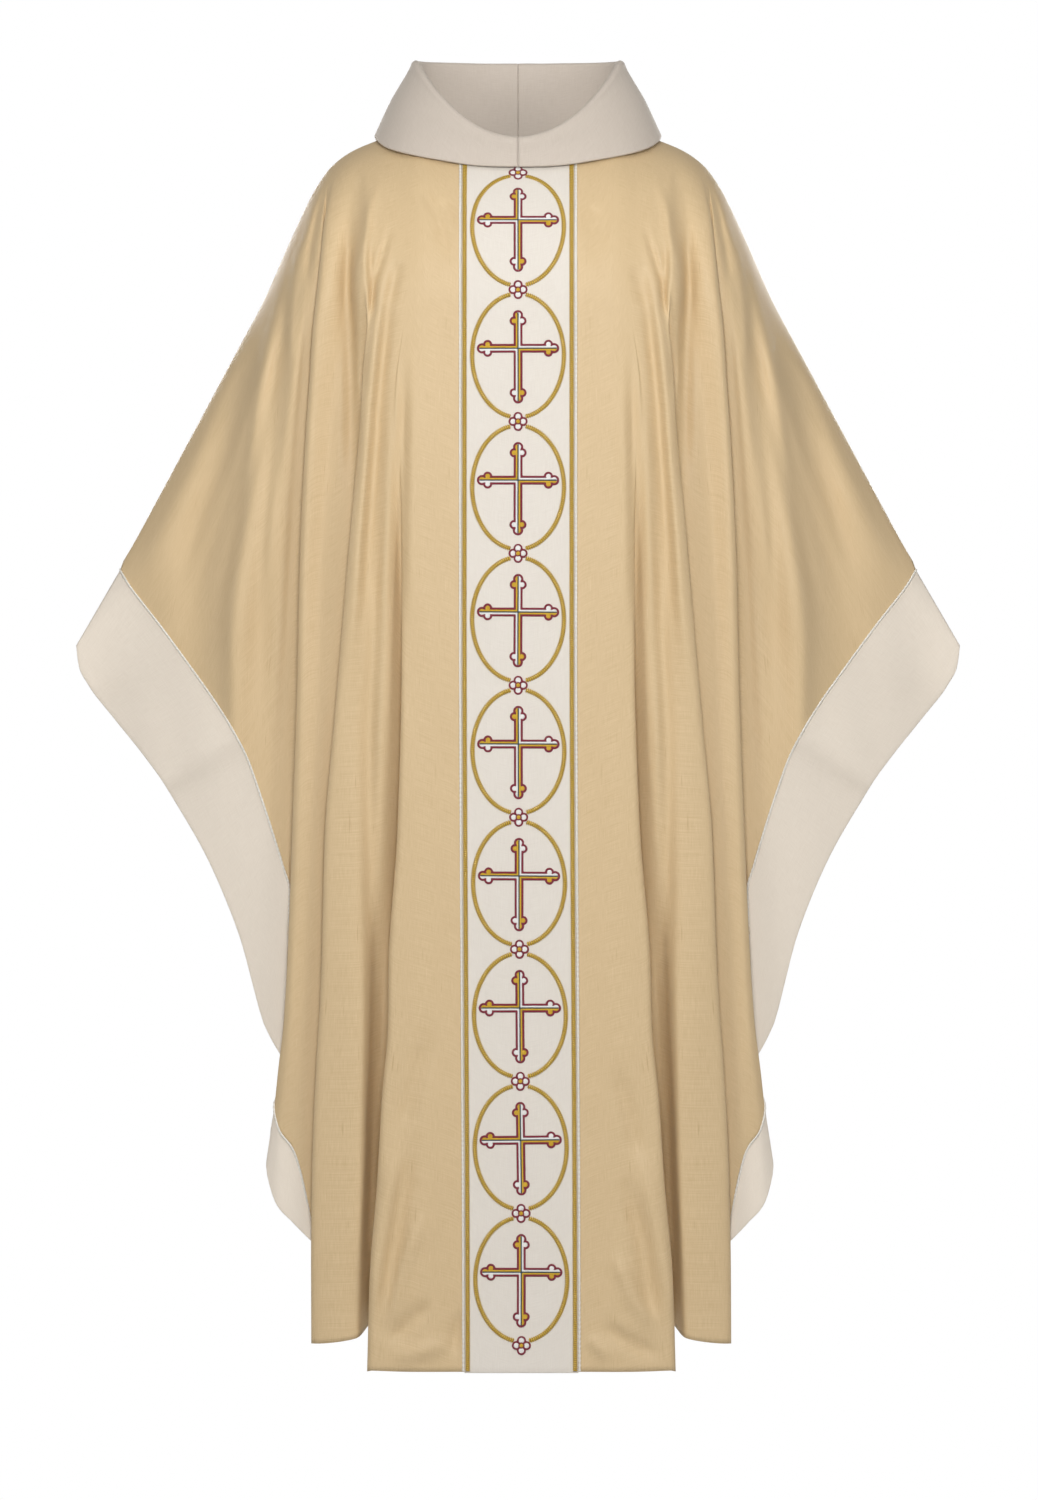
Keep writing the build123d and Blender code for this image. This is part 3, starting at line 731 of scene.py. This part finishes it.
# Finishes: a slot of the frame with its material.
SILK = ("gold_silk", gold_silk())
CREPE = ("ivory_crepe", ivory_crepe("ivory_crepe", (226, 219, 209), (217, 209, 198)))
BAND_CREPE = ("ivory_crepe", ivory_crepe("band_crepe", (237, 226, 211), (228, 216, 200)))
# The collar's cloth is the bands' ivory crepe painted darker: painted shade.
SHADED_COLLAR_CREPE = ("collar_cloth", ivory_crepe("shaded_collar_crepe", (203, 192, 180), (193, 181, 168)))
# For the cord, braid and thread finishes, the lighter colour is the painted highlight on strands or plies and
# the darker one the painted shade between them, also used for random specks.
CORD = ("ivory_cord", thread("ivory_cord", (246, 243, 236), (222, 215, 201), 0.55))
BRAID = ("gold_braid", rope("gold_braid", (214, 178, 58), (126, 92, 14), 0.15))
RING_ROPE = ("gold_thread", BRAID[1])
GOLD = ("gold_thread", thread("gold_thread", (224, 182, 40), (190, 146, 24), 0.4, metallic=0.1))
WHITE = ("white_thread", thread("white_thread", (250, 249, 246), (222, 219, 214), 0.5))
BURGUNDY = ("burgundy_thread", thread("burgundy_thread", (144, 32, 54), (98, 16, 38), 0.6))
CANVAS = ("canvas", coarse_cloth("canvas", (222, 211, 190), (176, 162, 138), 0.9 * MM))
COTTON_TAPE = ("cotton_tape", coarse_cloth("cotton_tape", (240, 236, 226), (206, 200, 186), 0.6 * MM))
TEAL = ("teal_thread", thread("teal_thread", (48, 84, 96), (24, 46, 56), 0.5))


def finish_piece(obj, node, finish):
    """Gives a piece its body in the frame and its material, and hides the imported part it stands for."""
    slot, material = finish
    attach(obj, "root")
    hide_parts(node)
    obj.data.materials.append(material)


def cloth_piece(name, node, points, thickness, inward, finish):
    """A finished sheet from a grid of outer points."""
    obj = sheet_mesh(name, points, thickness, inward)
    finish_piece(obj, node, finish)


def stitched_piece(name, node, shapes, finish):
    """A finished piece from several lists of points, faces and cloth places."""
    points, faces, cloth, count = [], [], [], 0
    for part_points, part_faces, part_cloth in shapes:
        points.append(part_points)
        cloth.append(part_cloth)
        faces += [tuple(i + count for i in face) for face in part_faces]
        count += len(part_points)
    obj = make_mesh(name, np.concatenate(points), faces, np.concatenate(cloth))
    finish_piece(obj, node, finish)


# ---- body cloth ----
def path_frame(path, facing):
    """At each point of a path, the direction across it and the direction out of the cloth."""
    tangent = unit(np.gradient(path, axis=0))
    across = unit(np.cross(np.broadcast_to(facing, path.shape), tangent))
    return across, np.cross(tangent, across)


def resample(path, spacing):
    """The path with evenly spaced points."""
    length = path_length(path)
    at = np.linspace(0, length[-1], max(2, int(length[-1] / spacing)))
    return np.stack([np.interp(at, length, column) for column in path.T], -1)


CORD_SIDES = 8


def cord_shape(path, facing, half_width, height, ply, plies, depth=0.16):
    """Points, faces and cloth places of a twisted cord lying on cloth that faces `facing`.

    It makes a turn in each length of ply; the grooves between its plies are this share deep.
    """
    across, up = path_frame(path, facing)
    length = path_length(path)
    turn = np.linspace(0, 2 * math.pi, CORD_SIDES, endpoint=False)
    twist = np.cos(plies * turn[None] + 2 * math.pi * length[:, None] / ply)
    swell = 1 + depth * twist
    ring = (across[:, None] * (half_width * np.cos(turn))[None, :, None]
            + up[:, None] * (height * np.sin(turn))[None, :, None]) * swell[:, :, None]
    points = path[:, None] + ring
    # The third cloth value is the ply's swell, 0 in a groove and 1 on a crown; rope() paints it as highlight
    # and shade.
    cloth = np.stack([np.broadcast_to(length[:, None], swell.shape),
                      np.broadcast_to(turn[None] * half_width, swell.shape), 0.5 + 0.5 * twist], -1)
    index = np.arange(len(path) * CORD_SIDES).reshape(len(path), CORD_SIDES)
    after = np.roll(index, -1, axis=1)
    faces = np.stack([index[:-1], after[:-1], after[1:], index[1:]], -1).reshape(-1, 4)
    faces = [tuple(f) for f in faces] + [tuple(index[0, ::-1]), tuple(index[-1])]
    return points.reshape(-1, 3), faces, cloth.reshape(-1, 3)


PIPING = 1.1 * MM                        # half the piping's width
PIPING_STEP, CORD_PLY = 0.9 * MM, 5 * MM


def make_body():
    """The four gold panels with their sleeve bands and the piping on the seams between them."""
    for side, face, rails in ((FRONT, "front", FRONT_RAILS), (BACK, "back", back_rails())):
        for hand, name in HANDS:
            gold, band = body_sheets(rails, side, hand)
            inward = -hand * side
            part = f"{face}_{name}"
            cloth_piece(f"{part}_silk", f"{part}_panel", gold, CLOTH, inward, SILK)
            cloth_piece(f"{part}_band", f"{part}_sleeve_band", hemmed(band, inward), CLOTH, inward,
                        BAND_CREPE)
            normal = -inward * grid_normals(band)[0]
            seam = resample(band[0] + 0.5 * MM * normal, PIPING_STEP)
            normals = np.stack([np.interp(np.linspace(0, 1, len(seam)), np.linspace(0, 1, len(normal)), c)
                                for c in normal.T], -1)
            cord = cord_shape(seam, normals, PIPING, PIPING, CORD_PLY, 2)
            stitched_piece(f"{part}_band_cord", f"{part}_band_piping", [cord], CORD)


make_body()


# ---- orphreys ----
MEDALLIONS = 9
PITCH = 136.8 * MM
FIRST_ROSETTE = 32 * MM


class Orphrey:
    """The ivory strip down one face: places on it are (across, length down from the neckline)."""

    def __init__(self, side):
        self.side = side
        self.z = np.linspace(float(neck_z(0.0, side)), HEM[side], 3000)
        self.length = path_length(self.surface(np.zeros(3000), self.z))
        self.end = self.length[-1]

    def surface(self, x, z):
        return place(x, z, 0.0, self.side, 1)

    def at(self, across, length, lift):
        """Points and outward normals at places on the strip, raised by lift."""
        x = -self.side * np.asarray(across)
        z = np.interp(length, self.length, self.z)
        z = z + (length > self.end) * (self.end - length)
        step = 0.5 * MM
        right = self.surface(x + step, z) - self.surface(x - step, z)
        up = self.surface(x, z + step) - self.surface(x, z - step)
        normal = unit(-self.side * np.cross(right, up))
        return self.surface(x, z) + np.asarray(lift)[..., None] * normal, normal

    def grid(self, half, columns, above_hem=0.0):
        """A grid of points over the strip, its rows level with the rows of the silk beside it."""
        x = np.linspace(-half, half, columns)[None]
        top = neck_z(x, self.side)
        return self.surface(x, top + (HEM[self.side] + above_hem - top) * row_shares(ROWS)[:, None])


def box_distance(u, v, low, high):
    """Signed distance from (u, v) to a rectangle."""
    du = np.maximum(low[0] - u, u - high[0])
    dv = np.maximum(low[1] - v, v - high[1])
    return np.minimum(np.maximum(du, dv), 0) + np.hypot(np.maximum(du, 0), np.maximum(dv, 0))


def disc_distance(u, v, centre, radius):
    """Signed distance from (u, v) to a disc."""
    return np.hypot(u - centre[0], v - centre[1]) - radius


# The cross and the rosette, in millimetres: u across, v up from the cross's centre. A shape is a
# function of signed distance, below zero inside.
CROSS_SIDE, CROSS_UP, CROSS_DOWN = 42.7, 39.6, 57.3
ARM_HALF, OUTLINE, CENTRE_LINE = 4.6, 2.2, 1.1
END_BUD, SIDE_BUD, BUD_SET_BACK, BUD_SPREAD = 5.3, 4.7, 11.2, 4.1


def cross_distance(u, v):
    """The budded cross, its long arm down."""
    distance = np.full(u.shape, np.inf)
    for a, b, reach in ((u, v, CROSS_UP), (u, -v, CROSS_DOWN), (v, u, CROSS_SIDE), (v, -u, CROSS_SIDE)):
        arm = box_distance(a, b, (-ARM_HALF, -ARM_HALF), (ARM_HALF, reach - END_BUD))
        for centre, radius in (((0, reach - END_BUD), END_BUD),
                               ((BUD_SPREAD, reach - BUD_SET_BACK), SIDE_BUD),
                               ((-BUD_SPREAD, reach - BUD_SET_BACK), SIDE_BUD)):
            arm = np.minimum(arm, disc_distance(a, b, centre, radius))
        distance = np.minimum(distance, arm)
    return distance


def cross_outline(u, v):
    """A line just inside the edge of the cross."""
    d = cross_distance(u, v)
    return np.maximum(d, -(d + OUTLINE))


def cross_lines(u, v):
    """The lines down the middle of the arms."""
    return np.minimum(np.abs(u), np.abs(v)) - CENTRE_LINE / 2


def cross_fill(sign):
    """Every second half of an arm, inside the outline: sign picks the gold or the white ones."""
    def distance(u, v):
        quarter = np.minimum(np.maximum(sign * u, -v), np.maximum(-sign * u, v))
        inner = np.maximum(cross_distance(u, v) + OUTLINE, -cross_lines(u, v))
        return np.maximum(inner, quarter)
    return distance


def cross_centre(u, v):
    return np.maximum(cross_distance(u, v) + OUTLINE, cross_lines(u, v))


PETAL, PETAL_OFFSET, PETAL_LINE, PETAL_INSET = 4.7, 5.2, 1.9, 0.2
CORE, CORE_LINE = 2.1, 1.1


def petal_pair(a, b):
    """The two petals that lie along b."""
    return np.minimum(disc_distance(a, b, (0, PETAL_OFFSET), PETAL),
                      disc_distance(a, b, (0, -PETAL_OFFSET), PETAL))


def rosette_outline(u, v):
    """The lines round the petals and round the centre."""
    upright, level = petal_pair(u, v), petal_pair(v, u)
    line = np.minimum(np.maximum(upright, -(upright + PETAL_LINE)),
                      np.maximum(np.maximum(level, -(level + PETAL_LINE)), -upright))
    line = np.minimum(line, rosette_centre(u, v) - CORE_LINE)
    return np.maximum(line, -rosette_centre(u, v))


def rosette_petal(u, v):
    petal = np.minimum(petal_pair(u, v), petal_pair(v, u)) + PETAL_INSET
    return np.maximum(np.maximum(petal, -rosette_outline(u, v)), -rosette_centre(u, v))


def rosette_centre(u, v):
    return np.hypot(u, v) - CORE


STEP = 0.62                              # spacing of the grid that shapes are traced on


def region(distance, reach):
    """Places, depths inside the edge, and faces of a flat region where distance is below zero."""
    u, v = (np.arange(-limit, limit + STEP, STEP) for limit in reach)
    grid_u, grid_v = np.meshgrid(u, v, indexing="ij")
    value = distance(grid_u, grid_v)
    value = np.where(np.abs(value) < 0.02 * STEP, -0.02 * STEP, value)
    inside = value < 0
    numbers, places, faces = {}, [], []

    def point(a, b, t):
        """The number of the point at share t from corner a to corner b."""
        if (a, b) not in numbers:
            numbers[a, b] = len(places)
            places.append(tuple(axis[i] + t * (axis[k] - axis[i]) for axis, i, k in zip((u, v), a, b)))
        return numbers[a, b]

    busy = inside[:-1, :-1] | inside[1:, :-1] | inside[1:, 1:] | inside[:-1, 1:]
    for i, j in np.argwhere(busy):
        ring = ((i, j), (i + 1, j), (i + 1, j + 1), (i, j + 1))
        face = []
        for a, b in zip(ring, ring[1:] + ring[:1]):
            if inside[a]:
                face.append(point(a, a, 0))
            if inside[a] != inside[b]:
                start, end = min(a, b), max(a, b)
                face.append(point(start, end, value[start] / (value[start] - value[end])))
        if len(face) > 2:
            faces.append(face)
    places = np.array(places)
    depth = -distance(places[:, 0], places[:, 1])
    return places, np.maximum(depth, 0), faces


def motif(distance, reach, height, rise):
    """A raised patch of satin stitch: places, lifts of its closed surface, faces, stitch places."""
    places, depth, faces = region(distance, reach)
    top = height * (0.45 + 0.55 * np.sqrt(1 - (1 - np.clip(depth / rise, 0, 1)) ** 2))
    count = len(places)
    edges = {}                               # those of one face only, which are the patch's rim
    for face in faces:
        for a, b in zip(face, face[1:] + face[:1]):
            if (b, a) in edges:
                del edges[b, a]
            else:
                edges[a, b] = True
    sides = [(b, a, a + count, b + count) for a, b in edges]
    under = [[i + count for i in face[::-1]] for face in faces]
    u, v = places.T
    stitch = np.where(np.abs(u) < np.abs(v), v, u)
    cloth = np.column_stack([stitch, u + v, depth]) * MM
    return {"places": np.concatenate([places, places]) * MM,
            "lift": np.concatenate([top, np.full(count, -0.15)]) * MM,
            "faces": [tuple(f) for f in faces + under] + sides,
            "cloth": np.concatenate([cloth, cloth])}


CROSS_REACH, ROSETTE_REACH = (45, 60), (11, 11)
# Each: its shape and reach, how high it stands and how far in from its edge it is at that height.
MOTIFS = {
    "cross_outlines": (motif(cross_outline, CROSS_REACH, 0.95, 0.75), BURGUNDY),
    "cross_gold_fills": (motif(cross_fill(1), CROSS_REACH, 0.75, 1.0), GOLD),
    "cross_white_fills": (motif(cross_fill(-1), CROSS_REACH, 0.75, 1.0), WHITE),
    "cross_centre_lines": (motif(cross_centre, CROSS_REACH, 0.95, 0.5), TEAL),
    "rosette_outlines": (motif(rosette_outline, ROSETTE_REACH, 0.95, 0.55), BURGUNDY),
    "rosette_petals": (motif(rosette_petal, ROSETTE_REACH, 0.75, 1.0), WHITE),
    "rosette_centres": (motif(rosette_centre, ROSETTE_REACH, 1.05, 1.5), GOLD),
}
RING = (47.6 * MM, 64.2 * MM)            # half width and half height of a medallion
RING_GAP = 7.9 * MM                      # its rope stops this far from the centre line, at a rosette
CROSS_RAISE = 7.5 * MM                   # the cross's centre above the medallion's
LEAN = 0.006                             # spread of the motifs' small leans, in radians
ROPE = (2.2 * MM, 1, 0.26)               # ply, plies and groove of the gold rope
ROPE_LIFT = 0.35 * MM
LEAN_SEEDS = {"front": 7, "back": 8}


def embroider(orphrey, face):
    """The medallion rings, crosses and rosettes down one orphrey."""
    rng = np.random.default_rng(LEAN_SEEDS[face])
    rosettes = [FIRST_ROSETTE + PITCH * i for i in range(MEDALLIONS + 1)]
    rosettes = [length for length in rosettes if length < orphrey.end - ROSETTE_REACH[1] * MM]
    rings = [FIRST_ROSETTE + PITCH * (i + 0.5) for i in range(MEDALLIONS)]
    crosses = [length - CROSS_RAISE for length in rings]
    leans = {length: rng.normal(0, LEAN) for length in crosses + rosettes}
    for name, (patch, finish) in MOTIFS.items():
        shapes = []
        for length in crosses if name.startswith("cross") else rosettes:
            lean = leans[length]
            u, v = patch["places"].T
            across, down = u * math.cos(lean) - v * math.sin(lean), u * math.sin(lean) + v * math.cos(lean)
            points, _ = orphrey.at(across, length - down, patch["lift"])
            shapes.append((points, patch["faces"], patch["cloth"] + [0, 0, length]))
        stitched_piece(f"{face}_{name}_stitched", f"{face}_{name}", shapes, finish)
    ends = math.asin(RING_GAP / RING[0])
    shapes = []
    for length in rings:
        for turn in (0, math.pi):
            angle = np.linspace(ends, math.pi - ends, 560) + turn
            points, normal = orphrey.at(RING[0] * np.sin(angle), length - RING[1] * np.cos(angle), ROPE_LIFT)
            shapes.append(cord_shape(points, normal, 2.2 * MM, 0.8 * MM, *ROPE))
    stitched_piece(f"{face}_medallion_ring_ropes", f"{face}_medallion_rings", shapes, RING_ROPE)


# Trims along each edge: piece and node names, distance from the centre line, points, lift, what
# cord_shape needs, and finish.
TRIMS = (
    ("edge_cord", "cord", 60.2 * MM, 1500, 0.5 * MM, (1.15 * MM, 1.0 * MM, CORD_PLY, 2), CORD),
    ("rope_braid", "braid", 55.6 * MM, 4400, ROPE_LIFT, (2.2 * MM, 0.9 * MM, *ROPE), BRAID),
)
TRIM_START, TRIM_END = 9 * MM, 0.5 * MM
CANVAS_INSET, CANVAS_GAP = 2 * MM, 0.3 * MM


def make_orphrey(side, face):
    """One orphrey: strip, canvas behind it, edge cords and braids, and its embroidery."""
    orphrey = Orphrey(side)
    inward = -side
    strip = hemmed(orphrey.grid(ORPHREY_HALF, 50), inward)
    cloth_piece(f"{face}_orphrey_strip", f"{face}_orphrey", strip, CLOTH, inward, CREPE)
    canvas = orphrey.grid(ORPHREY_HALF - CANVAS_INSET, 24, HEM_TURN + CANVAS_INSET)
    canvas = canvas + inward * (CLOTH + CANVAS_GAP) * grid_normals(canvas)
    cloth_piece(f"{face}_orphrey_canvas", f"{face}_orphrey_backing", canvas, 0.8 * MM, inward, CANVAS)
    for hand, name in HANDS:
        for piece, node, across, count, lift, shape, finish in TRIMS:
            length = np.linspace(TRIM_START, orphrey.end - TRIM_END, count)
            points, normal = orphrey.at(-side * hand * across, length, lift)
            stitched_piece(f"{face}_{name}_orphrey_{piece}", f"{face}_{name}_orphrey_{node}",
                           [cord_shape(points, normal, *shape)], finish)
    embroider(orphrey, face)


make_orphrey(FRONT, "front")
make_orphrey(BACK, "back")


# ---- collar ----
# Reach to the side, front and back, and squareness of the outline from above.
NECK = (NECK_SIDE, NECK_REACH[FRONT], NECK_REACH[BACK], 2)
ROLL = (107 * MM, 111 * MM, 70 * MM, 2.1)      # the roll line
FALL = (150 * MM, 124 * MM, 98 * MM, 3)        # the lower edge
ROLL_LOW, ROLL_HIGH = -17 * MM, 67 * MM        # height of the roll line at the front, and elsewhere
FALL_LIFT, FALL_SPAN = 8 * MM, 0.22            # above the cloth, averaged this many radians each way
INTERLINING = 0.6 * MM
COLLAR_DEPTH = 2 * CLOTH + INTERLINING + 0.3 * MM


def plan_reach(angle, across, front, back, squareness):
    """Distance from the Z axis to a rounded outline, at an angle measured from the centre front."""
    along = np.where(np.cos(angle) > 0, front, back)
    sides = np.abs(np.sin(angle) / across) ** squareness
    ends = np.abs(np.cos(angle) / along) ** squareness
    return (sides + ends) ** (-1 / squareness)


def cloth_height(x, y):
    """Height of the shoulders and chest at (x, y)."""
    top, depth, drop, sharp = form(x)
    depth = depth * np.where(y < 0, DEPTH_SHARE[FRONT], DEPTH_SHARE[BACK])
    bulge = np.clip(np.abs(y) / depth, 0, 1) ** (2 / sharp)
    return top - drop * (1 - np.sqrt(1 - bulge))


def collar_section(angle):
    """(radius, z) key points of the show side at an angle: up from the neck, over the roll, down."""
    neck = plan_reach(angle, *NECK) + 1 * MM
    base = cloth_height(neck * math.sin(angle), -neck * math.cos(angle)) + 0.3 * MM
    roll = plan_reach(angle, *ROLL)
    rise = math.sin(angle) ** 2 if math.cos(angle) > 0 else 1
    top = ROLL_LOW + (ROLL_HIGH - ROLL_LOW) * rise
    edge = plan_reach(angle, *FALL)
    near = angle + np.linspace(-FALL_SPAN, FALL_SPAN, 9)
    spread = plan_reach(near, *FALL)
    low = cloth_height(spread * np.sin(near), -spread * np.cos(near)).mean() + FALL_LIFT
    keys = [(neck, base), (neck + 0.45 * (roll - 5 * MM - neck), base + 0.5 * (top - 6 * MM - base)),
            (roll - 5 * MM, top - 6 * MM), (roll - 3.5 * MM, top - 1.8 * MM), (roll, top),
            (roll + 3.8 * MM, top - 2 * MM), (roll + 6.5 * MM, top - 8 * MM),
            (roll + 6 * MM + 0.5 * (edge - roll - 6 * MM) + 1.5 * MM,
             top - 8 * MM + 0.5 * (low - top + 8 * MM) + 1 * MM),
            (edge, low)]
    return np.array(keys, float)


def collar_grid(hand):
    """A grid over the show side of half the collar: rows along the section, columns round it."""
    angles = np.linspace(0.0, math.pi, 130)
    columns = []
    for angle in angles:
        keys = collar_section(angle)
        lengths = path_length(keys)
        # A quarter of the rows go round the roll.
        marks = [0, lengths[2] * 0.9, lengths[6] * 1.05, lengths[-1]]
        at = np.interp(np.linspace(0, 1, 64), [0, 0.25, 0.5, 1], marks)
        radius, z = smooth_through(lengths, keys, at).T
        columns.append(np.stack([hand * radius * math.sin(angle), -radius * math.cos(angle), z], -1))
    return np.stack(columns, 1), angles


COLLAR_SEED = 21
SEAM_DEPTH, SEAM_WIDTH = 0.3 * MM, 1.0 * MM
HALF_GAP = 0.01 * MM                     # from the centre to each half of the collar


def collar_waves(grid, angles, hand):
    """Soft unevenness of the collar: broad waves, and the seams at the centres pulled in."""
    rng = np.random.default_rng(COLLAR_SEED + hand)
    rows = np.linspace(0, 1, len(grid))[:, None]
    wave = np.zeros(grid.shape[:2])
    for _ in range(7):
        wave += rng.uniform(0.08, 0.2) * MM * np.sin(rng.uniform(3, 11) * angles[None] + rng.uniform(0, 6)
                                                     + rng.uniform(-2, 2) * rows)
    fall = smoothstep(0.45, 0.75, rows)
    wave *= (0.4 + fall) * smoothstep(0, 0.25, angles)[None] * smoothstep(0, 0.25, math.pi - angles)[None]
    round_length = np.minimum(angles, math.pi - angles)[None] * np.linalg.norm(grid[:, :, :2], axis=2)
    return wave - SEAM_DEPTH * np.exp(-(round_length / SEAM_WIDTH) ** 2)


def make_collar():
    """Both halves: the show cloth turned under at its edge, the interlining and the under collar."""
    for hand, name in HANDS:
        grid, angles = collar_grid(hand)
        normal = hand * grid_normals(grid)
        show = grid - collar_waves(grid, angles, hand)[:, :, None] * normal
        show[:, 0, 0] = show[:, -1, 0] = hand * HALF_GAP
        turned = turn_under(show, normal, COLLAR_DEPTH / 2, 7, 4)
        inner = show[:-2] + (CLOTH + 0.1 * MM) * normal[:-2]
        under = show[:-5] + (CLOTH + INTERLINING + 0.2 * MM) * normal[:-5]
        part = f"collar_{name}"
        cloth_piece(f"{part}_show_cloth", f"{part}_show", turned, CLOTH, hand, SHADED_COLLAR_CREPE)
        cloth_piece(f"{part}_stiffening", f"{part}_interlining", inner, INTERLINING, hand, CANVAS)
        cloth_piece(f"{part}_under_cloth", f"{part}_under", under, CLOTH, hand, SHADED_COLLAR_CREPE)


make_collar()


# ---- tapes ----
TAPE_HALF, TAPE = 5 * MM, 0.8 * MM       # half width and thickness
TAPE_FROM, TAPE_TO = 98 * MM, 270 * MM   # along the shoulder
SHOULDER_GAP, NECK_GAP = CLOTH + 0.9 * MM, 2 * CLOTH + 1.6 * MM


def make_tapes():
    """Cotton tapes inside the shoulder seams and round the neckline."""
    for hand, name in HANDS:
        x = np.linspace(TAPE_FROM, TAPE_TO, 70)[None]
        y = np.linspace(-TAPE_HALF, TAPE_HALF, 9)[:, None]
        x, y = np.broadcast_arrays(x, y)
        grid = np.stack([hand * x, y, cloth_height(x, y) - SHOULDER_GAP], -1)
        cloth_piece(f"{name}_shoulder_stay_tape", f"{name}_shoulder_tape", grid, TAPE, -hand, COTTON_TAPE)
    angle = np.linspace(0.001, 2 * math.pi - 0.001, 180)[None]
    radius = plan_reach(angle, *NECK) + np.linspace(0.3, 5.3, 5)[:, None] * MM
    x, y = radius * np.sin(angle), -radius * np.cos(angle)
    grid = np.stack([x, y, cloth_height(x, y) - NECK_GAP], -1)
    cloth_piece("neck_stay_tape", "neck_tape", grid, TAPE, 1, COTTON_TAPE)


make_tapes()

# ---- camera and light ----
CAMERA = Vector((1 * MM, -16.0, -656 * MM))
VIEW_HEIGHT, VIEW_PLANE = 1563 * MM, -100 * MM     # the view is this tall at this Y
SENSOR = 36
# Name, place, what it points at, width and height in metres, and watts.
LIGHTS = (
    ("key", (0.0, -2.7, 0.45), (0, 0, -0.15), (0.5, 0.5), 42),
    ("left", (-2.4, -3.0, 0.3), (0, 0, -0.2), (0.8, 1.4), 25),
    ("right", (2.4, -3.0, 0.3), (0, 0, -0.2), (0.8, 1.4), 25),
    ("above", (0.0, -1.3, 2.2), (0, 0, -0.1), (2.0, 0.8), 11),
    ("side_left", (-3.4, 0.4, 0.2), (0, 0, -0.5), (1.2, 1.6), 11),
    ("side_right", (3.4, 0.4, 0.2), (0, 0, -0.5), (1.2, 1.6), 11),
    ("behind_left", (-1.0, 3.2, -0.2), (0, 0, -0.5), (1.2, 1.2), 40),
    ("behind_right", (1.0, 3.2, -0.2), (0, 0, -0.5), (1.2, 1.2), 40),
)
WORLD_SEEN, WORLD_LIGHT = 1.0, 0.22
FLOOR, FLOOR_RADIUS, FLOOR_GREY, FLOOR_GLOW = -1.55, 1.4, 0.6, 0.5


def add(name, data, location):
    """A new object in the scene."""
    obj = bpy.data.objects.new(name, data)
    obj.location = location
    bpy.context.scene.collection.objects.link(obj)
    return obj


def camera():
    """A level camera in front of the garment, near the middle of its height."""
    data = bpy.data.cameras.new("camera")
    data.sensor_width = SENSOR
    data.lens = SENSOR * (VIEW_PLANE - CAMERA.y) / VIEW_HEIGHT
    data.clip_end = 100
    obj = add("camera", data, CAMERA)
    obj.rotation_euler = (math.pi / 2, 0, 0)
    bpy.context.scene.camera = obj


def area_light(name, location, target, size, power):
    data = bpy.data.lights.new(name, "AREA")
    data.shape = "RECTANGLE"
    data.size, data.size_y = size
    data.energy = power
    turn = (Vector(target) - Vector(location)).to_track_quat("-Z", "Y")
    add(name, data, location).rotation_euler = turn.to_euler()


def studio():
    """A white world: full white where the camera sees it, dimmer as light."""
    world = bpy.data.worlds.new("studio")
    world.use_nodes = True
    tree = world.node_tree
    background = tree.nodes["Background"]
    background.inputs["Color"].default_value = (1, 1, 1, 1)
    path = tree.nodes.new("ShaderNodeLightPath")
    strength = tree.nodes.new("ShaderNodeMapRange")
    strength.inputs["To Min"].default_value = WORLD_LIGHT
    strength.inputs["To Max"].default_value = WORLD_SEEN
    tree.links.new(path.outputs["Is Camera Ray"], strength.inputs["Value"])
    tree.links.new(strength.outputs["Result"], background.inputs["Strength"])
    bpy.context.scene.world = world


def floor():
    """A plain pale disc under the garment, a little brighter where the camera sees it."""
    bm = bmesh.new()
    bmesh.ops.create_circle(bm, cap_ends=True, segments=96, radius=FLOOR_RADIUS)
    mesh = bpy.data.meshes.new("floor")
    bm.to_mesh(mesh)
    bm.free()
    obj = add("floor", mesh, (0, 0, FLOOR))
    n = Nodes("floor", Roughness=0.9, Base_Color=(FLOOR_GREY, FLOOR_GREY, FLOOR_GREY, 1),
              Emission_Color=(1, 1, 1, 1))
    seen = n.tree.nodes.new("ShaderNodeLightPath").outputs["Is Camera Ray"]
    n.link(n.times(seen, FLOOR_GLOW), n.shader, "Emission Strength")
    obj.data.materials.append(n.material)


camera()
for light in LIGHTS:
    area_light(*light)
studio()
floor()
bpy.context.scene.view_settings.view_transform = "Standard"
